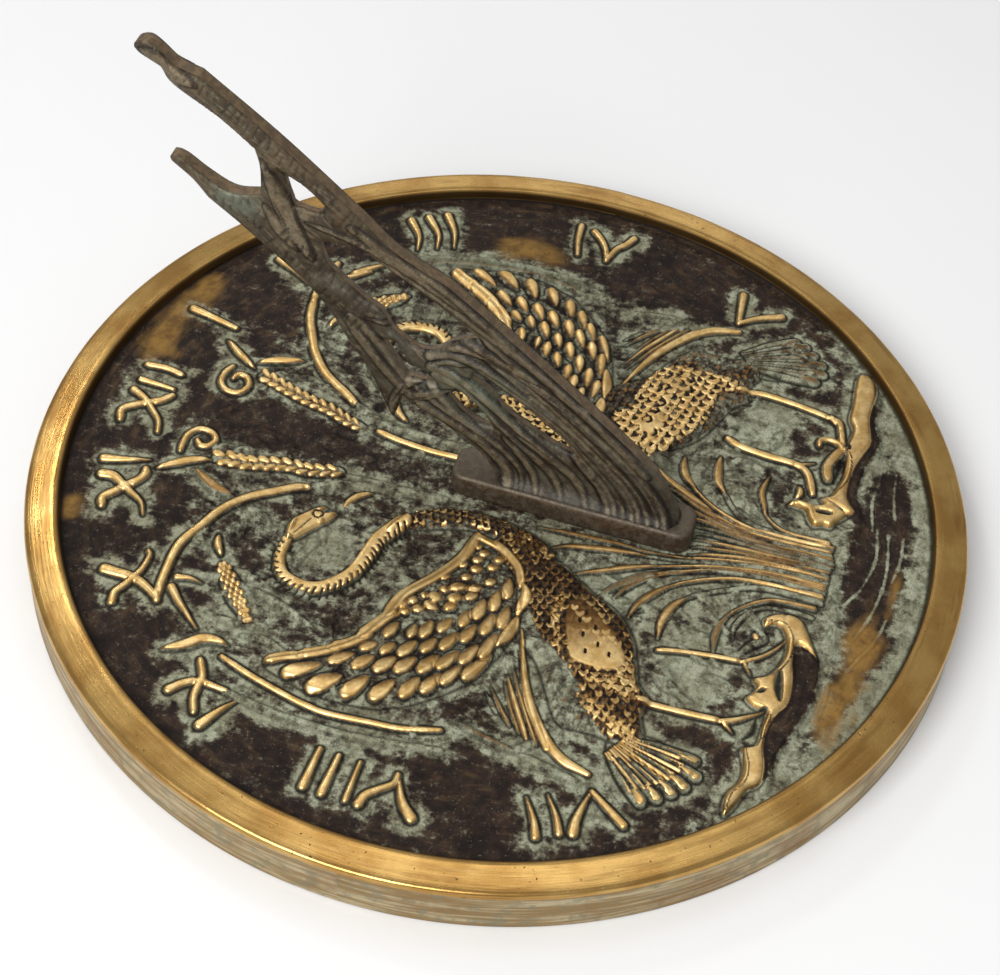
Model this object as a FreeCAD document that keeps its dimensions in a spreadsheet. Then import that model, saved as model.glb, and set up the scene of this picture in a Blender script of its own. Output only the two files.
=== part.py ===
import FreeCAD, Part
import math
import os

import Sketcher

# Cast brass garden sundial, in millimetres.
# Frame: origin at the centre of the plate's underside, +Z up, +Y along the noon line
# towards XII, +X towards the afternoon hours.

SIZES = {
    # dial plate
    "plate_radius": 127.0,
    "rim_edge_height": 14.6,
    "rim_crown_height": 15.6,
    "rim_inner_radius": 117.8,
    "rim_crown_radius": 119.6,
    "rim_corner_round": 1.4,
    "floor_height": 12.5,
    "web_thickness": 4.0,
    "foot_inner_radius": 119.0,
    "relief_height": 2.2,
    # pedestal boss under the plate
    "pedestal_boss_radius": 10.0,
    "pedestal_thread_radius": 3.97,
    "pedestal_thread_depth": 10.0,
    # gnomon
    "base_length": 67.0,
    "base_width": 12.6,
    "base_height": 7.1,
    "base_centre": 20.5,
    "base_corner_round": 4.0,
    "base_edge_round": 1.2,
    "blade_thickness": 5.0,
    "cattail_thickness": 7.0,
    # gnomon screws, under the base block
    "toe_screw_place": 46.0,
    "heel_screw_place": 16.0,
    "screw_boss_radius": 5.6,
    "screw_boss_drop": 1.2,
    "screw_hole_radius": 2.25,
    "screw_core_radius": 1.65,
    "screw_shank_radius": 1.62,
    "screw_reach": 6.0,
    "screw_head_radius": 4.0,
    "screw_head_height": 2.4,
    "screw_head_round": 0.9,
    "screw_slot_width": 1.1,
    "screw_slot_depth": 1.1,
    "tapped_depth": 6.6,
    "washer_radius": 4.6,
    "washer_thickness": 0.8,
    # flat seat for the gnomon's base block, cut through the relief
    "seat_margin": 0.4,
    # dial layout
    "latitude": 40.0,
    "hour_line_origin": 90.0,
    "numeral_circle": 103.0,
    "numeral_height": 12.5,
}

# The relief's strokes sink this far into the floor, so that they fuse with it.
STROKE_ROOT = 0.6

# How near an edge must lie to a height or a radius to be the edge that is meant.
TOLERANCE = 0.01

# Hours from noon, morning negative, and the numeral that stands on each hour line.
NUMERALS = [
    (-5, "VII"), (-4, "VIII"), (-3, "IX"), (-2, "X"), (-1, "XI"), (0, "XII"),
    (1, "I"), (2, "II"), (3, "III"), (4, "IV"), (5, "V"),
]

# Letter strokes in a box one unit high, and the room that each letter takes.
LETTERS = {
    "I": (0.42, [((0.0, -0.5), (0.0, 0.5))]),
    "V": (0.80, [((-0.32, 0.5), (0.0, -0.5)), ((0.32, 0.5), (0.0, -0.5))]),
    "X": (0.88, [((-0.38, 0.5), (0.38, -0.5)), ((0.38, 0.5), (-0.38, -0.5))]),
}
LETTER_STROKE = 2.0

# Strokes are (width at the middle, centreline). Every one has a twin across the noon line.
LEAVES = [
    (2.6, [(-26, 89), (-22, 83), (-18, 78)]),
    (3.0, [(-22, 80), (-26, 70), (-30, 60)]),
    (2.2, [(-66, 72), (-45, 71), (-27, 58), (-14, 40), (-9, 14)]),
    (2.2, [(-61, 70), (-68, 64), (-72, 58)]),
    (2.0, [(-58, 69), (-57, 62)]),
    (2.2, [(-48, 61), (-42, 65)]),
    (3.0, [(-80, 63), (-77, 57), (-73, 50)]),
    (1.8, [(-77, 49), (-84, 25), (-80, -10)]),
    (1.6, [(-77, -14), (-80, -30), (-81, -48)]),
    (1.8, [(-55, 51), (-58, 40), (-62, 30)]),
]
EARS = [
    (5.0, [(-17, 76), (-15, 64), (-11.5, 43)]),
    (4.4, [(-50, 60), (-58, 54), (-66, 47)]),
]
CURL = (1.8, [(-18, 86), (-12.5, 87), (-7, 83), (-11.5, 78.5), (-15, 81.5), (-12, 84)])
NECK = (3.8, [(-36, 47), (-45, 48), (-51, 38), (-46, 28), (-30, 24), (-19, 14), (-18, -6)])
BEAK = (2.8, [(-20.5, 38), (-17, 36), (-13.5, 32)])
LEGS = [
    (2.2, [(-55, -50), (-55, -66), (-54, -78)]),
    (2.2, [(-38, -46), (-36, -64), (-34, -77)]),
    (2.0, [(-54, -78), (-50, -81), (-48, -85)]),
    (2.0, [(-54, -78), (-58, -79)]),
    (2.0, [(-34, -77), (-30, -81), (-27, -85)]),
    (2.0, [(-34, -77), (-39, -80)]),
]
PLUMES = [
    (3.4, [(-46, -19), (-62, -26), (-77, -35)]),
    (3.4, [(-46, -22), (-66, -33), (-81, -48)]),
    (4.5, [(-60, -40), (-65, -47), (-67, -56)]),
]
TAIL_ROOT = (-67, -54)
TAIL_TIPS = [(-84, -62), (-80, -69), (-73, -73), (-66, -69)]
TAIL_WIDTH = 2.8

HEAD = [(-38, 49), (-30, 48), (-23.5, 43), (-23.5, 38.5), (-29, 39.5), (-38, 45.5)]
WING = [
    (-75.5, 38), (-66, 25), (-50, 13), (-21, 1), (-21, -9), (-35, -18),
    (-50, -17), (-64, -11), (-77, 2), (-80, 21), (-78, 31),
]
BREAST = [
    (-17, -6), (-19, -22), (-28, -37), (-42, -49), (-56, -51), (-57, -47),
    (-50, -40), (-44, -28), (-38, -18), (-26, -8),
]
LEDGE = [
    (-81, -82), (-64, -80), (-50, -84), (-30, -83), (-20.5, -79.5), (-18.5, -85),
    (-24, -89.5), (-60, -90.5), (-72, -88.5),
]

# Reeds leave the water side by side and fan out to both sides of the base block.
REED_COUNT = 7
REED_FOOT_WIDTH = 11.0
REED_FOOT = -90.0
REED_WIDTH = 2.2
REED_TIPS = [(-10, -34), (-16, -26), (-24, -33), (-30, -44), (-33, -54), (-35, -63), (-34, -69)]
RIPPLES = [(30, -96), (22, -101), (14, -106)]
RIPPLE_RISE = 3.0
RIPPLE_WIDTH = 1.6

# Side view of the gnomon's blade (distance along the noon line, height). Each run is one
# smooth edge, and consecutive runs meet in a corner.
BLADE_EDGE = [
    [(-50, 19), (-48, 24), (-41.5, 35.5)],
    [(-41.5, 35.5), (-29.5, 46.5), (0.8, 71.2), (16.8, 83.2)],
    [(16.8, 83.2), (30.8, 90.2), (39.8, 98.2)],
    [(39.8, 98.2), (60.8, 115.7), (80.5, 130.2)],
    [(80.5, 130.2), (86, 131.7), (90.5, 135.5), (93.3, 137), (96.4, 135.5), (95.5, 133.3), (90, 130.5)],
    [(90, 130.5), (87, 126), (76, 119.5), (67, 112.5)],
    [(67, 112.5), (65.8, 107), (65.8, 98)],
    [(65.8, 98), (73.5, 96.4), (80.5, 99.4), (86, 103), (88.8, 103.6), (89.3, 102.2), (84, 97.9), (80, 93)],
    [(80, 93), (70, 85.5), (55, 73), (48, 65)],
    [(48, 65), (43, 56), (37, 46), (30.5, 31)],
    [(30.5, 31), (29, 36), (28.4, 41)],
    [(28.4, 41), (25, 38.6), (13, 32.2), (7, 28.2), (0.5, 19)],
    [(0.5, 19), (-50, 19)],
]
BLADE_HOLES = [
    [[(60, 106.5), (54.8, 104), (49.5, 99.4)], [(49.5, 99.4), (51, 96.4), (57.6, 97)],
     [(57.6, 97), (60, 106.5)]],
    [[(8, 68), (18, 74.8), (25, 79), (35, 84.6), (41, 88), (51, 87)],
     [(51, 87), (49, 80.5), (46.5, 77.6), (38.5, 71), (34.5, 68.8), (31.5, 63.2)],
     [(31.5, 63.2), (25, 59.2), (20, 59.6), (15, 64.5), (8, 68)]],
    [[(30.5, 59), (34, 58.5)], [(34, 58.5), (31, 53.5), (27, 47.5)], [(27, 47.5), (19, 47.8)],
     [(19, 47.8), (22.5, 51), (27, 52), (28, 55), (30.5, 59)]],
    [[(-20, 34.6), (-16, 39.6), (-10, 44.2), (-4, 48.6), (2, 51.8), (9, 55.6)], [(9, 55.6), (9.5, 53)],
     [(9.5, 53), (3.5, 48.6), (0, 44.2), (-6, 40.6), (-13, 36.6), (-20, 34.6)]],
    [[(3, 36.6), (7, 43), (13, 47.6)], [(13, 47.6), (15.8, 45)],
     [(15.8, 45), (12, 40.2), (8, 37.6), (3, 36.6)]],
]
# Cattail heads are fuller than the stalks: (foot, tip, width across the blade's plane).
CATTAIL_HEADS = [
    ((38, 92), (83, 127.5), 8.5),
    ((37.5, 65), (62.5, 87.5), 11),
]


def vector(across, along, height=0.0):
    return FreeCAD.Vector(across, along, height)


def make_sheet(doc):
    """The driving dimensions, one named cell each."""
    sheet = doc.addObject("Spreadsheet::Sheet", "sizes")
    for row, (name, value) in enumerate(SIZES.items(), start=1):
        sheet.set("A%d" % row, name)
        sheet.set("B%d" % row, str(value))
        sheet.setAlias("B%d" % row, name)
    doc.recompute()
    return sheet


def new_body(doc, name):
    body = doc.addObject("PartDesign::Body", name)
    body.Label = name
    return body


def new_sketch(body, name, role, lift=None):
    """A sketch on one of the body's own origin planes, raised by an expression."""
    planes = [item for item in body.Origin.OriginFeatures if item.Role == role]
    sketch = body.newObject("Sketcher::SketchObject", name)
    sketch.AttachmentSupport = [(planes[0], "")]
    sketch.MapMode = "FlatFace"
    if lift:
        sketch.setExpression("AttachmentOffset.Base.z", lift)
    return sketch


def place_point(sketch, geometry, point, across, up):
    """Hold a point at two distances from the sketch's origin, given as expressions."""
    for kind, axis, expression in (("DistanceX", -2, across), ("DistanceY", -1, up)):
        if expression == "0":
            sketch.addConstraint(Sketcher.Constraint("PointOnObject", geometry, point, axis))
        elif expression.startswith("-"):
            index = sketch.addConstraint(Sketcher.Constraint(kind, geometry, point, -1, 1, 1.0))
            sketch.setExpression("Constraints[%d]" % index, expression[1:])
        else:
            index = sketch.addConstraint(Sketcher.Constraint(kind, -1, 1, geometry, point, 1.0))
            sketch.setExpression("Constraints[%d]" % index, expression)


def add_corners(sketch, corners):
    """A closed outline of straight edges with its corners placed by the sheet."""
    count = len(corners)
    turn = 2 * math.pi / count
    start = [vector(50 + 9 * math.cos(turn * i), 9 * math.sin(turn * i)) for i in range(count)]
    for index in range(count):
        sketch.addGeometry(Part.LineSegment(start[index], start[(index + 1) % count]))
    for index in range(count):
        following = (index + 1) % count
        sketch.addConstraint(Sketcher.Constraint("Coincident", index, 2, following, 1))
    for index, (across, up) in enumerate(corners):
        place_point(sketch, index, 1, across, up)


def add_circle(sketch, radius, across="0", up="0"):
    """A circle with its radius and centre placed by the sheet."""
    centre = vector(5, -20 if up.startswith("-") else 5)
    index = sketch.addGeometry(Part.Circle(centre, vector(0, 0, 1), 3.0))
    constraint = sketch.addConstraint(Sketcher.Constraint("Radius", index, 3.0))
    sketch.setExpression("Constraints[%d]" % constraint, radius)
    place_point(sketch, index, 3, across, up)


def add_runs(sketch, runs):
    """A free-form closed outline: each run is one straight or smooth edge, held in place."""
    for run in runs:
        points = [vector(*point) for point in run]
        if len(points) == 2:
            edge = Part.LineSegment(*points)
        else:
            edge = Part.BSplineCurve()
            edge.interpolate(points)
        index = sketch.addGeometry(edge)
        sketch.addConstraint(Sketcher.Constraint("Block", index))


def revolve(body, sketch, name):
    feature = body.newObject("PartDesign::Revolution", name)
    feature.Profile = sketch
    feature.ReferenceAxis = (sketch, ["V_Axis"])
    feature.Angle = 360
    return feature


def extrude(body, sketch, name, length, reverse=False, both_ways=False, cut=False):
    """A pad or a pocket whose length is an expression."""
    feature = body.newObject("PartDesign::Pocket" if cut else "PartDesign::Pad", name)
    feature.Profile = sketch
    feature.setExpression("Length", length)
    feature.Reversed = reverse
    feature.Midplane = both_ways
    return feature


def edge_names(shape, wanted):
    """The names of the edges whose bounding box passes a test."""
    return ["Edge%d" % number for number, edge in enumerate(shape.Edges, start=1)
            if wanted(edge.BoundBox)]


def add_fillet(doc, body, name, radius, wanted):
    """A fillet whose radius is an expression, on the edges that pass a test."""
    doc.recompute()
    tip = body.Tip
    fillet = body.newObject("PartDesign::Fillet", name)
    fillet.Base = (tip, edge_names(tip.Shape, wanted))
    fillet.setExpression("Radius", radius)


def stroke_sides(line, width):
    """The two edges of a stroke that is widest in the middle and tapers to both ends."""
    left = []
    right = []
    last = len(line) - 1
    for index, (across, along) in enumerate(line):
        before = line[max(index - 1, 0)]
        after = line[min(index + 1, last)]
        length = math.hypot(after[0] - before[0], after[1] - before[1])
        normal = ((before[1] - after[1]) / length, (after[0] - before[0]) / length)
        half = 0.5 * width * (0.55 if index in (0, last) else 1.0)
        left.append((across + half * normal[0], along + half * normal[1]))
        right.append((across - half * normal[0], along - half * normal[1]))
    return left, right


def smooth_edge(points):
    points = [vector(*point) for point in points]
    if len(points) == 2:
        return Part.LineSegment(*points).toShape()
    curve = Part.BSplineCurve()
    curve.interpolate(points)
    return curve.toShape()


def raised(wire, sheet, share=1.0):
    """A flat-topped piece of relief with the wire's outline, rooted in the floor."""
    face = Part.Face(wire)
    floor = sheet.get("floor_height")
    face.translate(vector(0, 0, floor - STROKE_ROOT))
    return face.extrude(vector(0, 0, STROKE_ROOT + share * sheet.get("relief_height")))


def stroke(sheet, width, line, share=1.0):
    """One cast stroke along a centreline."""
    left, right = stroke_sides(line, width)
    right.reverse()
    edges = [
        smooth_edge(left),
        smooth_edge([left[-1], right[0]]),
        smooth_edge(right),
        smooth_edge([right[-1], left[0]]),
    ]
    return raised(Part.Wire(edges), sheet, share)


def patch(sheet, outline, share=1.0):
    """One cast area with a smooth closed outline."""
    curve = Part.BSplineCurve()
    curve.interpolate([vector(*point) for point in outline], PeriodicFlag=True)
    return raised(Part.Wire([curve.toShape()]), sheet, share)


def across_noon(points):
    return [(-across, along) for across, along in points]


def numeral_place(sheet, hours):
    """Where an hour line, drawn from the style's foot, crosses the circle of numerals."""
    latitude = math.radians(sheet.get("latitude"))
    line = math.atan(math.sin(latitude) * math.tan(math.radians(15 * hours)))
    foot = sheet.get("hour_line_origin")
    circle = sheet.get("numeral_circle")
    reach = foot * math.cos(line) + math.sqrt(circle ** 2 - (foot * math.sin(line)) ** 2)
    return reach * math.sin(line), reach * math.cos(line) - foot


def numeral(sheet, hours, text):
    """The strokes of one numeral, its feet towards the plate's centre."""
    across, along = numeral_place(sheet, hours)
    radius = math.hypot(across, along)
    outward = (across / radius, along / radius)
    clockwise = (outward[1], -outward[0])
    size = sheet.get("numeral_height")
    cursor = -0.5 * sum(LETTERS[letter][0] for letter in text)
    solids = []
    for letter in text:
        room, strokes = LETTERS[letter]
        for ends in strokes:
            line = []
            for right, up in ends:
                shift = size * (cursor + room / 2 + right)
                rise = size * up
                line.append((across + shift * clockwise[0] + rise * outward[0],
                             along + shift * clockwise[1] + rise * outward[1]))
            solids.append(stroke(sheet, LETTER_STROKE, line))
        cursor += room
    return solids


def mirrored_strokes(sheet, strokes, share=1.0):
    solids = []
    for width, line in strokes:
        solids.append(stroke(sheet, width, line, share))
        solids.append(stroke(sheet, width, across_noon(line), share))
    return solids


def crane(sheet, side):
    """One crane, wings raised, facing the gnomon: side is 1 for the morning bird."""
    def turned(points):
        return points if side > 0 else across_noon(points)

    solids = [
        patch(sheet, turned(WING), 0.8),
        patch(sheet, turned(BREAST), 1.0),
        patch(sheet, turned(HEAD), 1.0),
    ]
    for width, line in [NECK, BEAK] + LEGS + PLUMES:
        solids.append(stroke(sheet, width, turned(line)))
    for tip in TAIL_TIPS:
        solids.append(stroke(sheet, TAIL_WIDTH, turned([TAIL_ROOT, tip]), 0.8))
    return solids


def reeds(sheet):
    """The reed bundle that rises from the water and fans out to both sides."""
    strokes = []
    for index, (across, along) in enumerate(REED_TIPS):
        foot = -REED_FOOT_WIDTH * (index + 0.5) / REED_COUNT
        knee = (0.6 * foot + 0.4 * across, 0.35 * REED_FOOT + 0.65 * along)
        strokes.append((REED_WIDTH, [(foot, REED_FOOT), knee, (across, along)]))
    return mirrored_strokes(sheet, strokes, 0.7)


def ripples(sheet):
    """Low waves under the ledges."""
    solids = []
    for half, along in RIPPLES:
        line = [(-half, along + RIPPLE_RISE), (0, along), (half, along + RIPPLE_RISE)]
        solids.append(stroke(sheet, RIPPLE_WIDTH, line, 0.4))
    return solids


def make_relief(doc, sheet):
    """Everything cast on the floor, in groups that the dial plate fuses."""
    plants = mirrored_strokes(sheet, LEAVES + EARS + [CURL])
    groups = {
        "numerals": sum((numeral(sheet, hours, text) for hours, text in NUMERALS), []),
        "plants": plants,
        "morning_crane": crane(sheet, 1),
        "afternoon_crane": crane(sheet, -1),
        "rock_ledges": [patch(sheet, LEDGE), patch(sheet, across_noon(LEDGE))],
        "reeds": reeds(sheet),
        "ripples": ripples(sheet),
    }
    features = []
    for name, solids in groups.items():
        feature = doc.addObject("Part::Feature", name)
        feature.Shape = solids[0].multiFuse(solids[1:])
        features.append(feature)
    return features


def make_plate_blank(doc):
    """The plate without its relief: rim, floor, hollow underside, bosses and holes."""
    body = new_body(doc, "plate_blank")
    profile = new_sketch(body, "plate_profile", "XZ_Plane")
    add_corners(profile, [
        ("0", "sizes.floor_height - sizes.web_thickness"),
        ("sizes.foot_inner_radius", "sizes.floor_height - sizes.web_thickness"),
        ("sizes.foot_inner_radius", "0"),
        ("sizes.plate_radius", "0"),
        ("sizes.plate_radius", "sizes.rim_edge_height"),
        ("sizes.rim_crown_radius", "sizes.rim_crown_height"),
        ("sizes.rim_inner_radius", "sizes.rim_edge_height"),
        ("sizes.rim_inner_radius", "sizes.floor_height"),
        ("0", "sizes.floor_height"),
    ])
    revolve(body, profile, "plate_turned")

    bosses = new_sketch(body, "screw_bosses", "XY_Plane", "sizes.floor_height - sizes.web_thickness")
    add_circle(bosses, "sizes.screw_boss_radius", up="-sizes.toe_screw_place")
    add_circle(bosses, "sizes.screw_boss_radius", up="-sizes.heel_screw_place")
    extrude(body, bosses, "screw_bosses_down", "sizes.screw_boss_drop", reverse=True)

    boss = new_sketch(body, "pedestal_boss", "XY_Plane")
    add_circle(boss, "sizes.pedestal_boss_radius")
    extrude(body, boss, "pedestal_boss_up", "sizes.floor_height - sizes.web_thickness")

    thread = new_sketch(body, "pedestal_thread", "XY_Plane")
    add_circle(thread, "sizes.pedestal_thread_radius")
    extrude(body, thread, "pedestal_thread_cut", "sizes.pedestal_thread_depth",
            reverse=True, cut=True)

    holes = new_sketch(body, "screw_holes", "XY_Plane")
    add_circle(holes, "sizes.screw_hole_radius", up="-sizes.toe_screw_place")
    add_circle(holes, "sizes.screw_hole_radius", up="-sizes.heel_screw_place")
    extrude(body, holes, "screw_holes_cut", "sizes.floor_height + sizes.relief_height",
            reverse=True, cut=True)
    return body


def make_seat_block(doc):
    """The room that the gnomon's base block needs above the floor."""
    seat = doc.addObject("Part::Box", "gnomon_seat")
    seat.setExpression("Length", "sizes.base_width + 2 * sizes.seat_margin")
    seat.setExpression("Width", "sizes.base_length + 2 * sizes.seat_margin")
    seat.setExpression("Height", "sizes.base_height")
    seat.setExpression("Placement.Base.x", "-sizes.base_width / 2 - sizes.seat_margin")
    seat.setExpression("Placement.Base.y",
                       "-sizes.base_centre - sizes.base_length / 2 - sizes.seat_margin")
    seat.setExpression("Placement.Base.z", "sizes.floor_height")
    return seat


def make_dial_plate(doc, sheet):
    """The dial plate is one casting: the blank with its relief fused on."""
    blank = make_plate_blank(doc)
    radius = sheet.get("plate_radius")
    height = sheet.get("rim_edge_height")
    add_fillet(doc, blank, "rim_corner", "sizes.rim_corner_round",
               lambda box: abs(box.XMax - radius) < TOLERANCE
               and abs(box.ZMin - height) < TOLERANCE and box.ZLength < TOLERANCE)
    casting = doc.addObject("Part::MultiFuse", "plate_casting")
    casting.Shapes = [blank] + make_relief(doc, sheet)
    casting.Refine = False
    plate = doc.addObject("Part::Cut", "dial_plate")
    plate.Label = "dial_plate"
    plate.Base = casting
    plate.Tool = make_seat_block(doc)
    plate.Refine = False
    return plate


def head_side(foot, tip, width):
    """One bulging side of a cattail head, from its foot to its tip."""
    along = (tip[0] - foot[0], tip[1] - foot[1])
    length = math.hypot(*along)
    out = (-0.5 * width * along[1] / length, 0.5 * width * along[0] / length)
    run = [foot]
    for share in (0.12, 0.5, 0.88):
        run.append((foot[0] + share * along[0] + out[0], foot[1] + share * along[1] + out[1]))
    run.append(tip)
    return run


def make_gnomon(doc, sheet):
    """The gnomon is one casting: base block, pierced blade and the fuller cattail heads."""
    body = new_body(doc, "gnomon")
    block = new_sketch(body, "base_block", "XY_Plane", "sizes.floor_height")
    near = "sizes.base_length / 2 - sizes.base_centre"
    far = "-(sizes.base_length / 2 + sizes.base_centre)"
    half_width = "sizes.base_width / 2"
    add_corners(block, [(half_width, near), ("-" + half_width, near), ("-" + half_width, far),
                        (half_width, far)])
    extrude(body, block, "base_block_up", "sizes.base_height")
    height = sheet.get("base_height")
    top = sheet.get("floor_height") + height
    add_fillet(doc, body, "base_corners", "sizes.base_corner_round",
               lambda box: abs(box.ZLength - height) < TOLERANCE)
    add_fillet(doc, body, "base_top_edge", "sizes.base_edge_round",
               lambda box: abs(box.ZMin - top) < TOLERANCE)

    outline = new_sketch(body, "blade_outline", "YZ_Plane")
    add_runs(outline, BLADE_EDGE)
    for hole in BLADE_HOLES:
        add_runs(outline, hole)
    extrude(body, outline, "blade", "sizes.blade_thickness", both_ways=True)

    for index, (foot, tip, width) in enumerate(CATTAIL_HEADS, start=1):
        head = new_sketch(body, "cattail_outline_%d" % index, "YZ_Plane")
        add_runs(head, [head_side(foot, tip, width), head_side(tip, foot, width)])
        extrude(body, head, "cattail_%d" % index, "sizes.cattail_thickness", both_ways=True)

    tapped = new_sketch(body, "tapped_holes", "XY_Plane", "sizes.floor_height")
    add_circle(tapped, "sizes.screw_core_radius", up="-sizes.toe_screw_place")
    add_circle(tapped, "sizes.screw_core_radius", up="-sizes.heel_screw_place")
    extrude(body, tapped, "tapped_holes_cut", "sizes.tapped_depth", reverse=True, cut=True)
    return body


def screw_seat():
    """The height of the washers' upper faces, against the plate's screw bosses."""
    return "sizes.floor_height - sizes.web_thickness - sizes.screw_boss_drop"


def set_place(body, place, height):
    """Stand a fastener under the base block: place is its cell, height an expression."""
    body.setExpression("Placement.Base.y", "-sizes." + place)
    body.setExpression("Placement.Base.z", height)


def make_screw(doc, name, place):
    """A slotted screw, head down, that reaches up into the gnomon's base block."""
    body = new_body(doc, name)
    profile = new_sketch(body, name + "_profile", "XZ_Plane")
    top = ("sizes.screw_head_height + sizes.washer_thickness + sizes.screw_boss_drop"
           " + sizes.web_thickness + sizes.screw_reach")
    add_corners(profile, [
        ("0", "0"),
        ("sizes.screw_head_radius - sizes.screw_head_round", "0"),
        ("sizes.screw_head_radius", "sizes.screw_head_round"),
        ("sizes.screw_head_radius", "sizes.screw_head_height"),
        ("sizes.screw_shank_radius", "sizes.screw_head_height"),
        ("sizes.screw_shank_radius", top),
        ("0", top),
    ])
    revolve(body, profile, name + "_turned")
    slot = new_sketch(body, name + "_slot", "XY_Plane")
    end = "sizes.screw_head_radius"
    side = "sizes.screw_slot_width / 2"
    add_corners(slot, [(end, side), ("-" + end, side), ("-" + end, "-" + side), (end, "-" + side)])
    extrude(body, slot, name + "_slot_cut", "sizes.screw_slot_depth", reverse=True, cut=True)
    set_place(body, place, screw_seat() + " - sizes.washer_thickness - sizes.screw_head_height")
    return body


def make_washer(doc, name, place):
    """A flat washer between a screw's head and the plate."""
    body = new_body(doc, name)
    profile = new_sketch(body, name + "_profile", "XZ_Plane")
    add_corners(profile, [
        ("sizes.screw_hole_radius", "0"),
        ("sizes.washer_radius", "0"),
        ("sizes.washer_radius", "sizes.washer_thickness"),
        ("sizes.screw_hole_radius", "sizes.washer_thickness"),
    ])
    revolve(body, profile, name + "_turned")
    set_place(body, place, screw_seat() + " - sizes.washer_thickness")
    return body


def check(doc, parts):
    """Stop if anything in the document failed or any sub-part is not a sound solid."""
    for item in doc.Objects:
        if "Invalid" in item.State or "Error" in item.State:
            raise RuntimeError("%s failed: %s" % (item.Label, item.State))
    for part in parts:
        shape = part.Shape
        if shape.isNull() or not shape.isValid():
            raise RuntimeError("%s has no valid shape" % part.Label)
        if len(shape.Solids) != 1:
            raise RuntimeError("%s is %d solids" % (part.Label, len(shape.Solids)))


def main():
    doc = FreeCAD.newDocument("garden_sundial")
    sheet = make_sheet(doc)
    parts = [
        make_dial_plate(doc, sheet),
        make_gnomon(doc, sheet),
        make_screw(doc, "toe_screw", "toe_screw_place"),
        make_screw(doc, "heel_screw", "heel_screw_place"),
        make_washer(doc, "toe_washer", "toe_screw_place"),
        make_washer(doc, "heel_washer", "heel_screw_place"),
    ]
    doc.recompute()
    check(doc, parts)
    os.makedirs("parts", exist_ok=True)
    for part in parts:
        box = part.Shape.BoundBox
        print("%-12s %9.1f mm3  z %.2f to %.2f" % (part.Label, part.Shape.Volume, box.ZMin, box.ZMax))
        part.Shape.exportStep(os.path.join("parts", part.Label + ".step"))


main()
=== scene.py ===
import math

import bpy
import numpy as np
from mathutils import Matrix, Vector


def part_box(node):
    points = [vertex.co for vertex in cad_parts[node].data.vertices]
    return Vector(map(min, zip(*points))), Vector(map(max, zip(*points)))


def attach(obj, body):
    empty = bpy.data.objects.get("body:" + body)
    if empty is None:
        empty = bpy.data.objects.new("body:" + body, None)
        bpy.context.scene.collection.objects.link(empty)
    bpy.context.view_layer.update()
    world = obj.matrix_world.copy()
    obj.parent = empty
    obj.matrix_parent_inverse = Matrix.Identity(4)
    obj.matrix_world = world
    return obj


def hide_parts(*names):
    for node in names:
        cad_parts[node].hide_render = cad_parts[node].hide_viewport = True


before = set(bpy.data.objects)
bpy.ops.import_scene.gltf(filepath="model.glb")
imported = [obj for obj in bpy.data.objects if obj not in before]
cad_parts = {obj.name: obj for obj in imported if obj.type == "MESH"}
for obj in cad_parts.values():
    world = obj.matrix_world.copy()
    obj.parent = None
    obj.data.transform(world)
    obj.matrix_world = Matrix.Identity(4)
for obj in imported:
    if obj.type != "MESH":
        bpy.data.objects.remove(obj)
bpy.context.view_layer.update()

# Cast brass garden sundial. Lengths in this file are millimetres in the part's own frame
# (origin at the centre of the plate's underside, +Z up, +Y towards XII), and become metres
# when a mesh is made.
MM = 0.001

# ---------------------------------------------------------------- sizes from the frame
PLATE_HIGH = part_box("dial_plate")[1] / MM
GNOMON_LOW, GNOMON_HIGH = (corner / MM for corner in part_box("gnomon"))
PLATE_RADIUS = PLATE_HIGH.x
FLOOR = GNOMON_LOW.z
BASE_HALF_WIDTH = GNOMON_HIGH.x
BASE_TOE = GNOMON_LOW.y
BASE_LENGTH = 67.0
BASE_HEIGHT = 7.1

# ---------------------------------------------------------------- dial plate layout
FACE_RADIUS = 117.6
RING_COUNT = 328
RING_STEP = FACE_RADIUS / RING_COUNT
RIM_INNER = 117.8
CROWN_RADIUS = 119.6
CROWN_HEIGHT = 15.6
WEB_UNDERSIDE = FLOOR - 4.0
FOOT_INNER = PLATE_RADIUS - 8.0
BOSS_RADIUS = 10.0
THREAD_RADIUS = 3.97
THREAD_PITCH = 1.41
THREAD_DEPTH = 10.0
SCREW_PLACES = (-46.0, -16.0)
SCREW_BOSS_RADIUS = 5.6
SCREW_BOSS_DROP = 1.2


# ================================================================ small numeric helpers
def smoothstep(low, high, value):
    share = np.clip((value - low) / (high - low), 0.0, 1.0)
    return share * share * (3.0 - 2.0 * share)


def noise(x, y, size, seed):
    """Smooth noise from -1 to 1 whose bumps are about size across."""
    count = 128
    values = np.random.default_rng(seed).uniform(-1.0, 1.0, (count, count))
    column = np.floor(x / size).astype(int)
    row = np.floor(y / size).astype(int)
    right = x / size - column
    up = y / size - row
    right = right * right * (3.0 - 2.0 * right)
    up = up * up * (3.0 - 2.0 * up)
    left_low = values[row % count, column % count]
    right_low = values[row % count, (column + 1) % count]
    left_high = values[(row + 1) % count, column % count]
    right_high = values[(row + 1) % count, (column + 1) % count]
    low = left_low + (right_low - left_low) * right
    high = left_high + (right_high - left_high) * right
    return low + (high - low) * up


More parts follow.
